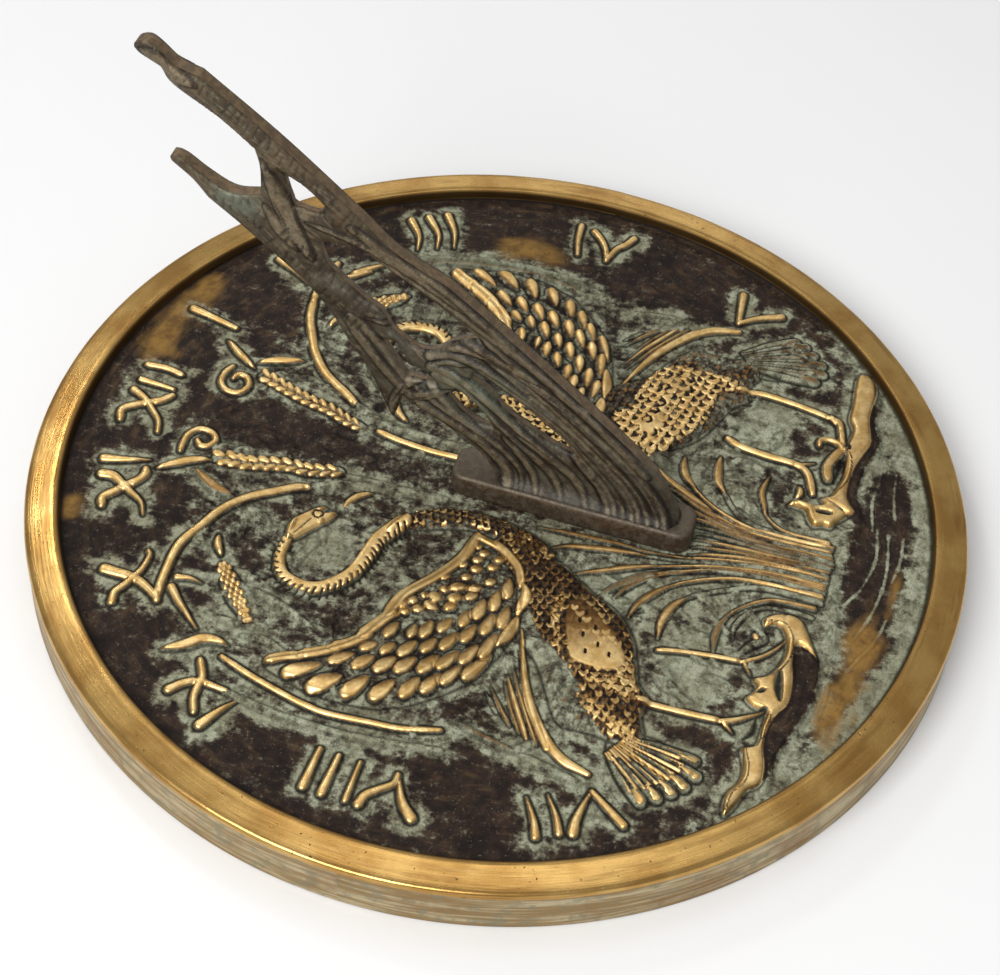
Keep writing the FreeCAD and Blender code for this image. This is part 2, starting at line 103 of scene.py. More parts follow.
def smooth_path(points, step=0.7, closed=False):
    """A smooth line through given points, as points about step apart."""
    points = np.asarray(points, float)
    if len(points) == 2:
        share = np.linspace(0.0, 1.0, 3)[:, None]
        return points[0] * (1.0 - share) + points[1] * share
    if closed:
        padded = np.vstack([points[-1], points, points[0], points[1]])
    else:
        padded = np.vstack([2 * points[0] - points[1], points, 2 * points[-1] - points[-2]])
    line = []
    for index in range(1, len(padded) - 2):
        before, here, after, later = padded[index - 1:index + 3]
        count = max(2, int(np.hypot(*(after - here)) / step))
        share = np.linspace(0.0, 1.0, count, endpoint=False)[:, None]
        line.append(0.5 * (2 * here + (after - before) * share
                           + (2 * before - 5 * here + 4 * after - later) * share ** 2
                           + (3 * here - before - 3 * after + later) * share ** 3))
    if not closed:
        line.append(padded[-2:-1])
    return np.vstack(line)


def measure(path, x, y, closed=False):
    """Each point's distance to the path, and how far along it the nearest place is (0 to 1)."""
    if closed:
        path = np.vstack([path, path[:1]])
    lengths = np.hypot(*np.diff(path, axis=0).T)
    starts = np.concatenate([[0.0], np.cumsum(lengths)])
    best = np.full(len(x), 1e9)
    share = np.zeros(len(x))
    for index, length in enumerate(lengths):
        if length < 1e-9:
            continue
        start = path[index]
        way = (path[index + 1] - start) / length
        reach = np.clip((x - start[0]) * way[0] + (y - start[1]) * way[1], 0.0, length)
        gap = np.hypot(x - start[0] - reach * way[0], y - start[1] - reach * way[1])
        closer = gap < best
        best[closer] = gap[closer]
        share[closer] = (starts[index] + reach[closer]) / starts[-1]
    return best, share


def inside(path, x, y):
    """True for the points inside a closed path."""
    found = np.zeros(len(x), bool)
    for (ax, ay), (bx, by) in zip(path, np.roll(path, -1, axis=0)):
        if abs(by - ay) < 1e-12:
            continue
        crosses = (ay > y) != (by > y)
        found ^= crosses & (x < (bx - ax) * (y - ay) / (by - ay) + ax)
    return found


def mirrored(points):
    return [(-x, y) for x, y in points]


def walk(path, pitch):
    """Places along a path, pitch apart: (point, direction) pairs."""
    path = smooth_path(path)
    steps = np.diff(path, axis=0)
    lengths = np.hypot(*steps.T)
    starts = np.concatenate([[0.0], np.cumsum(lengths)])
    for distance in np.arange(0.5 * pitch, starts[-1], pitch):
        index = min(np.searchsorted(starts, distance) - 1, len(steps) - 1)
        way = steps[index] / lengths[index]
        yield path[index] + way * (distance - starts[index]), way


# How a stroke's half width changes from its first point (0) to its last (1).
TAPERS = {
    "even": lambda share: np.minimum(1.0, 0.75 + 4.0 * np.minimum(share, 1.0 - share)),
    "leaf": lambda share: 0.12 + 0.88 * np.sin(np.pi * share) ** 0.7,
    "drop": lambda share: 1.0 - 0.85 * share ** 1.3,
    "club": lambda share: 1.0 - 0.4 * share,
    "spike": lambda share: 0.1 + 0.9 * (1.0 - share) ** 0.8,
    "tail": lambda share: (0.15 + 0.85 * np.minimum(1.0, 2.2 * (1.0 - share))
                           * np.minimum(1.0, 0.5 + 4 * share)),
    "grow": lambda share: 0.3 + 0.7 * share,
    "feather": lambda share: (np.sqrt(np.maximum(1.0 - share ** 2.2, 0.0))
                              * np.minimum(1.0, 0.8 + 1.5 * share)),
    "neck": lambda share: 0.58 + 0.42 * share ** 1.5,
}
# Marks fade over this width at a stroke's edge, so that the mesh can carry a smooth outline.
EDGE_SOFT = 0.9
# Ground this near to a stroke or a modelled mass knows its distance to it.
HALO = 7.0


class Relief:
    """Cast relief over scattered points: heights, and marks for the material.

    ground is the modelled mass and detail the strokes on it. polish is bare metal, raised in places as
    painted highlight and sheen, lowered in others as painted shade. soot is the dark line round a stroke,
    and painted shade at the foot of each row of scales. brown is ground that stays free of verdigris, and
    near the distance to the nearest stroke.
    """

    def __init__(self, x, y):
        self.order = np.argsort(y, kind="stable")
        self.x = x[self.order]
        self.y = y[self.order]
        self.ground = np.zeros(len(x))
        self.detail = np.zeros(len(x))
        self.polish = np.zeros(len(x))
        self.soot = np.zeros(len(x))
        self.near = np.full(len(x), 30.0)
        self.brown = np.zeros(len(x))

    def window(self, path, margin):
        """The points round a path, as row numbers."""
        low = path.min(axis=0) - margin
        high = path.max(axis=0) + margin
        first = np.searchsorted(self.y, low[1])
        last = np.searchsorted(self.y, high[1])
        across = self.x[first:last]
        return first + np.nonzero((across > low[0]) & (across < high[0]))[0]

    def stroke(self, points, width, top=1.2, taper="even", polish=1.0, skirt=0.45, groove=1.2,
               depth=0.2, halo=HALO, soot=1.0, fall=0.0, lean=0.0):
        """One raised stroke along a centreline.

        fall is how far it sinks towards its last point, and lean how far it sinks to one side. Where it
        sinks its polish drops too, which paints the low end and side darker: painted shade on a real dip.
        """
        path = smooth_path(points)
        rows = self.window(path, width / 2 + halo)
        if len(rows) == 0:
            return
        gap, share = measure(path, self.x[rows], self.y[rows])
        half = 0.5 * width * np.maximum(TAPERS[taper](share), 0.1)
        into = half - gap
        if halo > 0.0:
            self.near[rows] = np.minimum(self.near[rows], np.maximum(-into, 0.0))
        close = into > -groove
        rows = rows[close]
        into = into[close]
        half = half[close]
        left = 1.0 - fall * share[close]
        if lean:
            way = (path[-1] - path[0]) / np.hypot(*(path[-1] - path[0]))
            across = (self.x[rows] - path[0][0]) * way[1] - (self.y[rows] - path[0][1]) * way[0]
            left *= 1.0 - abs(lean) * smoothstep(-0.5, 0.9, math.copysign(1.0, lean) * across / half)
        level = top * np.minimum(1.0, half / 0.6) * left
        rise = level * (0.86 * smoothstep(-skirt, 0.35, into) + 0.14 * smoothstep(0.0, 1.1, into))
        ring = smoothstep(-groove, -0.5 * groove, into) * (1.0 - smoothstep(-0.2, 0.15, into))
        higher = rise >= self.detail[rows] - 0.05
        # Less polish where the stroke sinks: painted shade on its low end and side.
        shine = polish * left * np.clip(0.5 + into / EDGE_SOFT, 0.0, 1.0)
        body = higher & (into > 0.1)
        under = self.polish[rows] * (1.0 - np.where(higher, ring, 0.0))
        over = np.where(higher, shine, 0.0)
        self.polish[rows] = np.where(body, shine, np.maximum(under, over))
        mark = np.where(higher, soot * ring, 0.0)
        self.soot[rows] = np.maximum(self.soot[rows] * np.where(body, smoothstep(0.3, 0.0, into), 1.0), mark)
        self.detail[rows] = np.maximum(self.detail[rows] - depth * ring, rise)

    def cut(self, points, width, depth=0.5, taper="even", soot=1.0):
        """A groove along a centreline."""
        path = smooth_path(points)
        rows = self.window(path, width)
        if len(rows) == 0:
            return
        gap, share = measure(path, self.x[rows], self.y[rows])
        half = 0.5 * width * np.maximum(TAPERS[taper](share), 0.1)
        hollow = smoothstep(1.0, 0.2, gap / (half + 0.15))
        self.detail[rows] -= depth * hollow
        self.polish[rows] *= 1.0 - hollow
        self.soot[rows] = np.maximum(self.soot[rows], soot * hollow)

    def patch(self, outline, top, rounding, polish=None, groove=1.2, soot=0.9, brown=0.0):
        """A modelled mass inside a closed outline, domed over the rounding distance."""
        path = smooth_path(outline, closed=True)
        rows = self.window(path, HALO)
        x = self.x[rows]
        y = self.y[rows]
        gap, _ = measure(path, x, y, closed=True)
        into = np.where(inside(path, x, y), gap, -gap)
        share = np.clip((into + 0.3) / rounding, 0.0, 1.0)
        rise = top * np.sqrt(1.0 - (1.0 - share) ** 2) * smoothstep(-0.3, 1.0, into)
        ring = smoothstep(-groove, -0.3, into) * (1.0 - smoothstep(-0.2, 0.3, into))
        lower = self.ground[rows] < top
        self.soot[rows] = np.maximum(self.soot[rows], np.where(lower, soot * ring, 0.0))
        self.ground[rows] = np.maximum(self.ground[rows], rise)
        self.near[rows] = np.minimum(self.near[rows], np.maximum(-into, 0.0))
        self.brown[rows] = np.maximum(self.brown[rows], brown * smoothstep(-0.5, 1.0, into))
        if polish is not None:
            body = into > 0.0
            rows = rows[body]
            self.polish[rows] = polish * smoothstep(0.0, 0.5, into[body])
            self.soot[rows] *= smoothstep(0.4, 0.0, into[body])

    def scales(self, outline, size, toward, top=0.7, polish=0.8, fade=2.0, seed=1, smooth=None,
               brown=0.0):
        """Overlapping scales inside an outline, with their rounded tips pointing one way.

        size is (width, row height). smooth is an outline inside which they melt together into a patch whose
        polish grows towards the way the tips point: a painted sheen.
        """
        path = smooth_path(outline, closed=True)
        rows = self.window(path, 0.0)
        x = self.x[rows]
        y = self.y[rows]
        body = inside(path, x, y)
        rows = rows[body]
        x = x[body]
        y = y[body]
        gap, _ = measure(path, x, y, closed=True)
        way = np.array(toward, float)
        way /= np.hypot(*way)
        width, height = size
        bend_x = x + 0.5 * noise(x, y, 4.0, seed + 5)
        bend_y = y + 0.5 * noise(x, y, 4.0, seed + 6)
        across = bend_x * -way[1] + bend_y * way[0]
        back = -(bend_x * way[0] + bend_y * way[1])
        reach = np.full(len(x), 1e9)
        tone = np.zeros(len(x))
        off_centre = np.zeros(len(x))
        for odd in (0, 1):
            column = np.round(across / width + 0.5 * odd)
            off = (across / width + 0.5 * odd - column) * 2.0
            start = back - 0.95 * height * off ** 2 - odd * height
            row = np.floor(start / (2.0 * height))
            behind = start - row * 2.0 * height
            nearer = behind < reach
            reach[nearer] = behind[nearer]
            off_centre[nearer] = off[nearer]
            mixed = np.sin(column * 12.9898 + (2 * row + odd) * 78.233 + seed) * 43758.5453
            tone[nearer] = (mixed - np.floor(mixed))[nearer]
        edge = smoothstep(0.0, fade, gap)
        melt = np.zeros(len(x))
        if smooth is not None:
            inner = smooth_path(smooth, closed=True)
            into, _ = measure(inner, x, y, closed=True)
            melt = np.where(inside(inner, x, y), smoothstep(0.1, 1.6, into), 0.0)
            reach_along = inner @ way
            along = (x * way[0] + y * way[1] - reach_along.min()) / np.ptp(reach_along)
            # Painted sheen: the melted patch is brighter towards the way the tips point and darker brown
            # away from it.
            melt_painted_sheen = melt * (0.36 + 0.56 * np.clip(along, 0.0, 1.0) ** 1.3)
        step = smoothstep(0.0, 0.45, reach)
        slope = 1.0 - 0.75 * reach / (1.2 * height)
        rise = step * np.clip(slope, 0.0, 1.0)
        rise = rise * (1.0 - melt) + 0.8 * melt
        self.detail[rows] = np.maximum(self.detail[rows], top * edge * rise)
        lit = smoothstep(0.05, 0.45, reach) * smoothstep(1.3 * height, 0.8 * height, reach)
        lit *= smoothstep(1.05, 0.7, np.abs(off_centre)) * (0.45 + 0.55 * tone)
        lit *= polish
        if smooth is not None:
            lit = np.maximum(lit, melt_painted_sheen)
        self.polish[rows] = np.maximum(self.polish[rows], lit * smoothstep(0.0, 0.6, gap))
        # The dark at the foot of each scale, under the next row, is painted shade; the thin dark line at
        # each scale's edge is patina in the groove.
        shade = np.maximum(smoothstep(0.4, 0.0, reach), 0.7 * smoothstep(0.9 * height, 1.35 * height, reach))
        self.soot[rows] = np.maximum(self.soot[rows], 0.85 * shade * (1.0 - melt) * edge)
        self.brown[rows] = np.maximum(self.brown[rows], brown * edge)

    def restore(self, values):
        """Values put back in the order that the points were given in."""
        out = np.empty_like(values)
        out[self.order] = values
        return out


# ================================================================ what is cast on the dial
# (points, width, taper), x across and y along the noon line.
NUMERALS = [
    # VII
    ([(-102, -41), (-98, -39.3), (-92, -35.7)], 2.1, "drop"),
    ([(-99.3, -46), (-95, -44), (-89.6, -40.4)], 1.9, "drop"),
    ([(-98.2, -49.2), (-93.6, -48.9), (-85.4, -50)], 2.5, "drop"),
    ([(-92, -60), (-88.6, -55), (-85.4, -50.3)], 2.1, "club"),
    # VIII
    ([(-107.2, 16.1), (-95.7, 15.9)], 2.3, "club"),
    ([(-107.5, 11.2), (-96, 10.9)], 2.2, "club"),
    ([(-107.5, 5.1), (-96, 5.4)], 1.6, "club"),
    ([(-107.5, 1.8), (-104.6, 1.1), (-102, -1.4), (-99.3, -4.3), (-96.4, -4.5)], 2.3, "club"),
    ([(-107, -11.4), (-104.6, -8.9), (-101.4, -6.8), (-96.8, -5)], 2.8, "drop"),
    # IX
    ([(-99, 46.2), (-94, 43.5), (-89.3, 40.4)], 2.6, "drop"),
    ([(-91.8, 57.5), (-88.6, 54.6), (-86.8, 51), (-87.1, 48), (-87.5, 44)], 2.3, "club"),
    ([(-96, 49), (-92, 50.7), (-88.6, 51), (-85.7, 51), (-80.7, 53.6)], 1.9, "even"),
    # X
    ([(-62.2, 88), (-62.2, 84), (-62.2, 80.3), (-63.3, 77), (-65.6, 73), (-67, 71.4)], 3.0, "club"),
    ([(-71.4, 82), (-68.3, 82.5), (-65, 81), (-62.2, 80), (-58.9, 79), (-54.4, 78.9), (-53, 79.8)],
     2.1, "club"),
    # XI
    ([(-42.8, 97.8), (-40, 98.7), (-37.2, 96.7), (-34.4, 95), (-31.7, 92.6), (-28.9, 91.4),
      (-26.9, 92)], 2.3, "even"),
    ([(-32.5, 102.3), (-32.2, 99.2), (-33.9, 95.9), (-36.1, 92), (-38.3, 88.4), (-41.9, 86.4)],
     2.8, "drop"),
    ([(-27.2, 104.2), (-26.4, 100.9), (-25, 96.4), (-23.3, 92.3)], 2.5, "drop"),
    # XII
    ([(-12.5, 106), (-9, 107), (-6, 104), (-4, 101), (-2, 98), (0.5, 96)], 2.1, "even"),
    ([(-1, 107), (-3, 103), (-6, 99.5), (-9.5, 96), (-13.3, 94.5)], 2.1, "club"),
    ([(3.3, 106.7), (2.8, 96.7)], 1.8, "club"),
    ([(9.2, 107.5), (9.7, 101.7), (8.8, 96.7)], 1.8, "even"),
    # I, II and III
    ([(34.5, 104), (33, 97), (31.3, 89.5)], 2.4, "club"),
    ([(62.5, 88.5), (59, 81.5), (56, 77)], 2.2, "drop"),
    ([(68, 83.5), (64, 77.5), (60.5, 73)], 2.2, "drop"),
    ([(92.7, 57.3), (86.9, 53), (81.2, 51.5)], 2.4, "drop"),
    ([(95.8, 52.7), (89.6, 47.7), (83.8, 46.2)], 2.4, "drop"),
    ([(98.8, 47.7), (92.3, 43.5), (85.8, 41.5)], 2.4, "drop"),
    # IV and V
    ([(108.8, 8.1), (102.3, 7.3), (96.2, 5.8)], 2.0, "club"),
    ([(107.7, 3.5), (104.6, 0.4), (100.8, -1.9), (96.5, -3.1)], 2.2, "club"),
    ([(108.8, -8.5), (105.4, -6.9), (102.3, -4.6), (96.5, -3.1)], 2.2, "club"),
    ([(96.6, -45.6), (84.5, -47)], 2.3, "club"),
    ([(91.6, -58.4), (88.3, -51.7), (84.5, -47)], 2.3, "club"),
]

# Plants: (points, width, taper, how polished).
MORNING_PLANTS = [
    ([(-67, 71.5), (-64, 72.3), (-56.7, 73.1), (-50, 73.4), (-45.6, 72.6), (-40, 70.3),
      (-34.4, 68.1), (-30, 65.3), (-26, 61.4), (-22.2, 56), (-19.4, 52), (-17.8, 48.7)], 2.3, "even", 1.0),
    ([(-17.6, 48.5), (-15.6, 44), (-13.9, 40), (-11.5, 30), (-10, 20), (-9.6, 12)], 2.2, "even", 0.12),
    ([(-62, 69.5), (-65.6, 66), (-69, 62), (-72, 58.4)], 2.3, "drop", 1.0),
    ([(-58.3, 69.5), (-57.5, 66), (-57.8, 63)], 1.8, "spike", 0.9),
    ([(-81, 64), (-77.8, 59), (-75, 56), (-74, 53), (-74.2, 49)], 3.0, "leaf", 0.8),
    ([(-25.6, 89.5), (-22.8, 86), (-20, 82), (-17.8, 77)], 2.4, "leaf", 1.0),
    ([(-22.5, 79.8), (-24.4, 76.4), (-26.7, 72), (-27.8, 66.4)], 2.8, "leaf", 0.6),
    ([(-30.5, 61.4), (-32.2, 56.4), (-34, 53)], 3.0, "leaf", 0.1),
    ([(-17.5, 86), (-15, 86.4), (-11.7, 86.4), (-8.9, 84.8), (-8.1, 82.6), (-8.9, 79.8),
      (-11.1, 78.4), (-13.6, 79.8), (-13.9, 81.7), (-12.5, 83.1)], 1.7, "even", 1.0),
    ([(-47.5, 61.7), (-44.4, 63.9), (-41.4, 64.8)], 1.9, "leaf", 1.0),
    ([(-55, 50), (-58, 40), (-62, 30)], 1.9, "leaf", 0.3),
    ([(-70, 47), (-69.5, 41), (-71.5, 34)], 1.6, "leaf", 0.05),
    ([(-66, 58), (-67, 50), (-66, 42)], 1.5, "leaf", 0.05),
    ([(-78, 49), (-81, 40), (-83.6, 30), (-85.2, 21.4), (-85.2, 15.7), (-84.3, 7), (-83.6, 0),
      (-82.1, -5.7), (-80.7, -10)], 1.6, "even", 1.0),
    ([(-76.8, -13), (-78.6, -18.6), (-79.6, -24.3), (-80.7, -30)], 1.4, "leaf", 0.5),
    ([(-80.7, -30), (-83, -40), (-84, -47)], 2.2, "leaf", 0.05),
    ([(-87.5, 45), (-89.5, 30), (-89.5, 10), (-86.5, -12)], 1.6, "even", 0.0),
    ([(-10, 42), (-10, 27), (-10, 12)], 1.4, "leaf", 0.35),
]
AFTERNOON_PLANTS = [
    ([(16.9, 84.6), (13.8, 85.8), (10, 85.4), (7.7, 82.7), (8.1, 79.2), (11.2, 77.7), (14.2, 79.2),
      (14.6, 81.9), (12.7, 82.7)], 1.7, "even", 1.0),
    ([(26.2, 90), (22.3, 85), (18.5, 78.8)], 2.1, "leaf", 1.0),
    ([(20.8, 78.5), (23.1, 74.2), (25.8, 66.5)], 2.4, "leaf", 0.9),
    ([(50, 72.7), (43, 71.2), (36.2, 68.1), (29.2, 64.2), (23.1, 58.8), (18.5, 51.9), (15.4, 47.3)],
     2.5, "even", 1.0),
    ([(15.2, 47), (12.3, 41), (10.4, 33), (9.8, 12)], 2.2, "even", 0.12),
    ([(67, 71.5), (58, 73.2), (50, 72.8)], 2.2, "even", 1.0),
    ([(7.7, 37.7), (6.5, 31.2), (5.8, 21.9), (6.2, 12)], 1.8, "even", 0.95),
    ([(61, 68.5), (67.5, 61)], 2.0, "leaf", 1.0),
    ([(64, 67), (71.5, 58)], 1.8, "leaf", 0.9),
    ([(47.5, 61.7), (44.4, 63.9), (41.4, 64.8)], 1.9, "leaf", 0.9),
    ([(81, 64), (77.8, 59), (75, 56), (74, 49)], 3.0, "leaf", 0.6),
    ([(75.4, 48.8), (79.2, 41), (81.9, 29.6), (83.1, 18), (82.3, 6.5), (80, -1.2)], 1.4, "even", 0.45),
    ([(78, 49), (82.5, 36), (85.5, 22), (85, 6), (82, -6)], 1.6, "even", 0.1),
    ([(76.8, -13), (78.6, -18.6), (79.6, -24.3), (80.7, -30)], 1.2, "leaf", 0.2),
    ([(55, 50), (58, 40), (62, 30)], 1.7, "leaf", 0.1),
]
# Seed heads: centreline, width at each end, grain pitch.
EARS = [
    ([(-16.7, 75.3), (-16, 73), (-15.6, 67.6), (-13.9, 62), (-12.5, 56.4), (-12.2, 51),
      (-10.6, 45.3), (-10, 42.8)], 5.2, 3.6, 2.5),
    ([(16.5, 75.4), (15.8, 72.7), (13.8, 66.5), (11.9, 59.6), (10.8, 53.5), (8.5, 47.3), (7.3, 42)],
     4.4, 3.2, 2.3),
]
DOTTED_EARS = [
    ([(-50, 60.5), (-56.7, 54.8), (-62.2, 49.8), (-65.6, 47)], 5.0),
    ([(53.8, 57.3), (57.5, 52), (61.5, 47.3)], 5.0),
]

# The morning crane. The afternoon crane mirrors these outlines across the noon line, but has
# tail tips, legs and scales of its own.
NECK = [(-37.5, 47.3), (-40, 47.3), (-43, 47), (-46, 46), (-48.5, 44), (-49.8, 41), (-50.3, 38),
        (-49.8, 34.5), (-48, 31.8), (-45, 29), (-41.5, 27), (-37.5, 26), (-33, 25.3), (-29, 24.5),
        (-25, 22.5), (-21.5, 20.5)]
HEAD = [(-37.5, 47.3), (-34, 48.8), (-30, 48.6), (-26.5, 46.2), (-23.2, 43), (-22.8, 41), (-25, 41.8),
        (-23.6, 38.2), (-25.5, 38), (-28, 39.3), (-32, 42.3), (-35.5, 44.8)]
BEAK = [(-22, 37.3), (-18.5, 36.3), (-16, 34.5), (-14, 31.5)]
CHEST = [(-26, 23.5), (-21, 22), (-16, 18), (-12.5, 11), (-11, 2), (-11.5, -7), (-14, -15),
         (-19, -22), (-22, -16), (-19, -8), (-17, 0), (-18.5, 8), (-21, 14), (-24, 19)]
BODY = [(-13.5, -12), (-17, -18), (-21, -25), (-27, -34.5), (-31, -42), (-37, -47.5), (-44, -50.5),
        (-51, -53), (-55, -57), (-60, -56), (-66, -58), (-70, -54), (-69, -46), (-69, -37),
        (-61, -31.5), (-53, -26.5), (-46, -19), (-30, -14), (-20, -4)]
BODY_SCALES = BODY[:12] + [(-68, -46), (-60, -40), (-52, -33), (-46, -25), (-38, -19)] + BODY[-2:]
# The scaled side of the afternoon crane's chest, which isn't mirrored from the morning side.
EAST_CHEST = [(17, -14.5), (21.5, -15.5), (26.5, -4), (31.5, 6), (31, 14), (27.5, 22),
              (22.5, 20.5), (25.5, 13), (25.5, 7), (21.5, -3)]
NECK_WIDTH = 5.2
BREAST = [(-51, -34), (-45, -30.8), (-39, -28.6), (-33, -28.4), (-29.5, -31), (-31.5, -37),
          (-37, -42), (-41, -46), (-46, -48.8), (-50.5, -47), (-52, -41)]
WING = [(-76, 38.5), (-70.5, 30), (-66, 23.5), (-60, 18), (-51, 14.3), (-43, 12), (-36, 7), (-28, 2.6),
        (-18.8, 1), (-19.5, -5), (-24, -12), (-31, -16.5), (-39, -18.5), (-48, -18), (-56, -16),
        (-64, -12.5), (-72, -5), (-78, 3), (-80.5, 12), (-81, 23), (-79, 32)]
WING_EDGE = [
    ([(-75.3, 37.5), (-73, 34), (-71, 29.5)], 3.3, "even"),
    ([(-70.8, 30), (-68.5, 26), (-65.5, 22)], 3.6, "even"),
    ([(-66, 23.5), (-63.5, 20), (-59.5, 16.6)], 3.5, "even"),
    ([(-60, 18), (-56, 15.8), (-51, 13.2)], 3.8, "even"),
    ([(-51.5, 14.2), (-46, 13), (-43, 11.5), (-36, 6.5), (-28, 2), (-22, 0.6), (-18.8, 0.3)], 3.4, "even"),
    ([(-19.3, 0.3), (-20, -2.5), (-21.5, -7), (-26, -13), (-31.5, -15.8)], 2.3, "even"),
    ([(-31, -16.3), (-35, -17.9), (-40.8, -17.4)], 3.2, "leaf"),
    ([(-41.2, -17.9), (-46.5, -17.3), (-52, -15.5)], 2.9, "leaf"),
]
# Feathers: (tip x, tip y, root x, root y, width).
FEATHERS = [
    (-77.5, 31.5, -72.5, 24, 2.9), (-79.5, 24, -74, 18, 3.7), (-78.5, 15.5, -72, 11.8, 3.3),
    (-77, 8.5, -71, 5.2, 3.1), (-74, 2, -68, -0.3, 2.7), (-71, -2.5, -65, -5, 2.4),
    (-67, -6.3, -61, -9, 2.1), (-63.5, -11, -55, -15, 2.3), (-56, -12.8, -48, -14.5, 2.1),
    (-70.5, 22, -66.5, 17.5, 2.5), (-70, 16, -65.5, 12.5, 2.5), (-64, 16, -61.5, 13, 2.1),
    (-69, 10.5, -64, 7.3, 2.7), (-67.5, 5.5, -62.5, 2.5, 2.7), (-65.5, 0, -60, -2.5, 2.7),
    (-63, -4, -57, -7, 2.3), (-59.5, -8.8, -53.5, -11, 2.3), (-49, -11, -42.5, -12, 2.3),
    (-45.5, -14.5, -39, -14.5, 2.1), (-36, -13, -30, -12, 2.1),
    (-63.5, 11, -60, 9, 1.9), (-62.5, 6.5, -57.5, 4, 2.3), (-59.5, 1.5, -55, -0.5, 2.1),
    (-57, -2.8, -51.5, -5, 2.3), (-53, -7, -47.5, -8.5, 2.3), (-41, -11, -35, -10.5, 2.2),
    (-58, 12, -53.5, 10.5, 2.1), (-56.5, 6.3, -52.5, 6, 1.3), (-55, 3.2, -50, 2.5, 2.3),
    (-52, -0.5, -47.5, -2.2, 2.1), (-48.5, -5, -43.5, -5.5, 2.1), (-45, -7.8, -39, -8, 2.3),
    (-51.5, 13.5, -50.5, 11, 2.3), (-49.5, 10.5, -49, 8.5, 2.0), (-47.5, 12, -46, 10, 2.4),
    (-45.5, 9.5, -45.3, 7.8, 1.6), (-48, 7.5, -47, 5.5, 1.8), (-45.5, 5, -46.5, 2, 2.0),
    (-43, 7, -43, 5.8, 1.5), (-42.5, 4.5, -43, 2, 2.5), (-44.8, 0, -42.5, -1.8, 2.0),
    (-41.5, 0, -40, -3, 2.1), (-39.5, 3, -39, 1, 1.5), (-38, 0.5, -36.5, -3, 1.8),
    (-37, -4, -35.5, -6.5, 1.6), (-40, -4, -38, -6, 1.6), (-35.5, 4.5, -34.5, 2.5, 1.4),
    (-33.5, -7.4, -32, -9.2, 1.6), (-34, -1, -33, -3, 1.4), (-30.5, -2.5, -29.5, -4.8, 1.6),
    (-30, 1, -29, -0.5, 1.3), (-27.4, -2, -26.6, -4, 1.5), (-28.5, -6.5, -27.3, -8.5, 1.6),
    (-24.8, -3, -24, -5, 1.5), (-25.4, -7.4, -24.2, -9.3, 1.6), (-22.8, -0.8, -22.4, -2.4, 1.2),
]
PLUMES = [
    ([(-81, -48), (-78.5, -40), (-72, -33), (-62, -26.5), (-45, -20)], 2.6, 1.0),
    ([(-77.5, -36.2), (-72, -32.2), (-65, -28.3), (-57, -24.2), (-51, -21.3)], 1.5, 0.95),
    ([(-77, -33.6), (-66, -26.5), (-54, -20)], 1.1, 0.75),
    ([(-76, -30.8), (-70, -27), (-63, -22.8), (-57, -19.5)], 1.4, 0.95),
    ([(-75, -28.6), (-68, -24), (-60, -20)], 0.9, 0.7),
    ([(-73.5, -25.6), (-69.5, -22), (-64, -17.8)], 1.1, 0.7),
    ([(-71, -21.5), (-66, -17)], 0.9, 0.5),
]
MORNING_LEGS = [
    ([(-56, -53.5), (-55.6, -58), (-55.2, -66), (-54.5, -75.5)], 1.7, "even"),
    ([(-54.5, -75.5), (-57.2, -78.6)], 1.3, "spike"),
    ([(-54.5, -76), (-52.8, -79), (-50.5, -82), (-48.5, -84.5)], 1.8, "spike"),
    ([(-38.6, -54.5), (-37.2, -60), (-35.7, -69), (-34.8, -76.5)], 1.3, "even"),
    ([(-34.7, -76.5), (-32, -80), (-28.5, -83), (-24, -85.5)], 1.3, "spike"),
    ([(-35, -76.5), (-38.5, -79)], 1.0, "spike"),
]
AFTERNOON_LEGS = [
    ([(39, -54.5), (37.5, -58), (36.5, -65), (36.3, -72), (35.8, -76), (33, -79), (27, -81.3)], 2.0, "even"),
    ([(57.5, -53.5), (59, -60), (58.5, -68), (57.5, -75), (56.6, -80.5)], 1.8, "even"),
    ([(36, -75.5), (38.5, -79.5)], 1.3, "spike"),
    ([(56.6, -80.5), (53, -84.5)], 1.5, "spike"),
]
TAIL_ROOT = (-70.5, -52.5)
TAIL_TIPS = [(-84.2, -62), (-82, -65.5), (-79.3, -68.5), (-76.6, -71), (-72.8, -73), (-68.5, -71.5)]
MORNING_LEDGE = [
    (-81.5, -82.3), (-79, -81), (-75, -81.3), (-71, -83.3), (-67, -83.5), (-63.5, -82.3), (-61, -81.6),
    (-58.8, -84.8), (-54, -85.2), (-49, -85), (-48, -81.5), (-46, -79), (-44.5, -80), (-42, -81),
    (-39.5, -79.6), (-37, -83), (-32.5, -85.3), (-28, -85.8), (-24, -84.8), (-21.2, -83), (-21.2, -80.6),
    (-22.5, -79), (-20, -78), (-17.6, -80.2), (-16.2, -84), (-17, -87.8), (-20, -90), (-25, -92.8),
    (-28.5, -94.3), (-26, -90.5), (-25.5, -88), (-31, -88.5), (-38, -90), (-44.5, -90.2), (-48.5, -88.3),
    (-53, -86.8), (-59, -87.2), (-65, -88.8), (-70, -88.8), (-73, -86), (-78, -84.3)]
MORNING_BANK = [
    (-71, -88.5), (-60, -86.5), (-50, -86.5), (-44, -88.5), (-34, -88), (-26, -87), (-25.5, -93),
    (-29, -95.3), (-34, -95.8), (-42, -95.5), (-50, -93.5), (-60, -90.8), (-70, -91.2)]
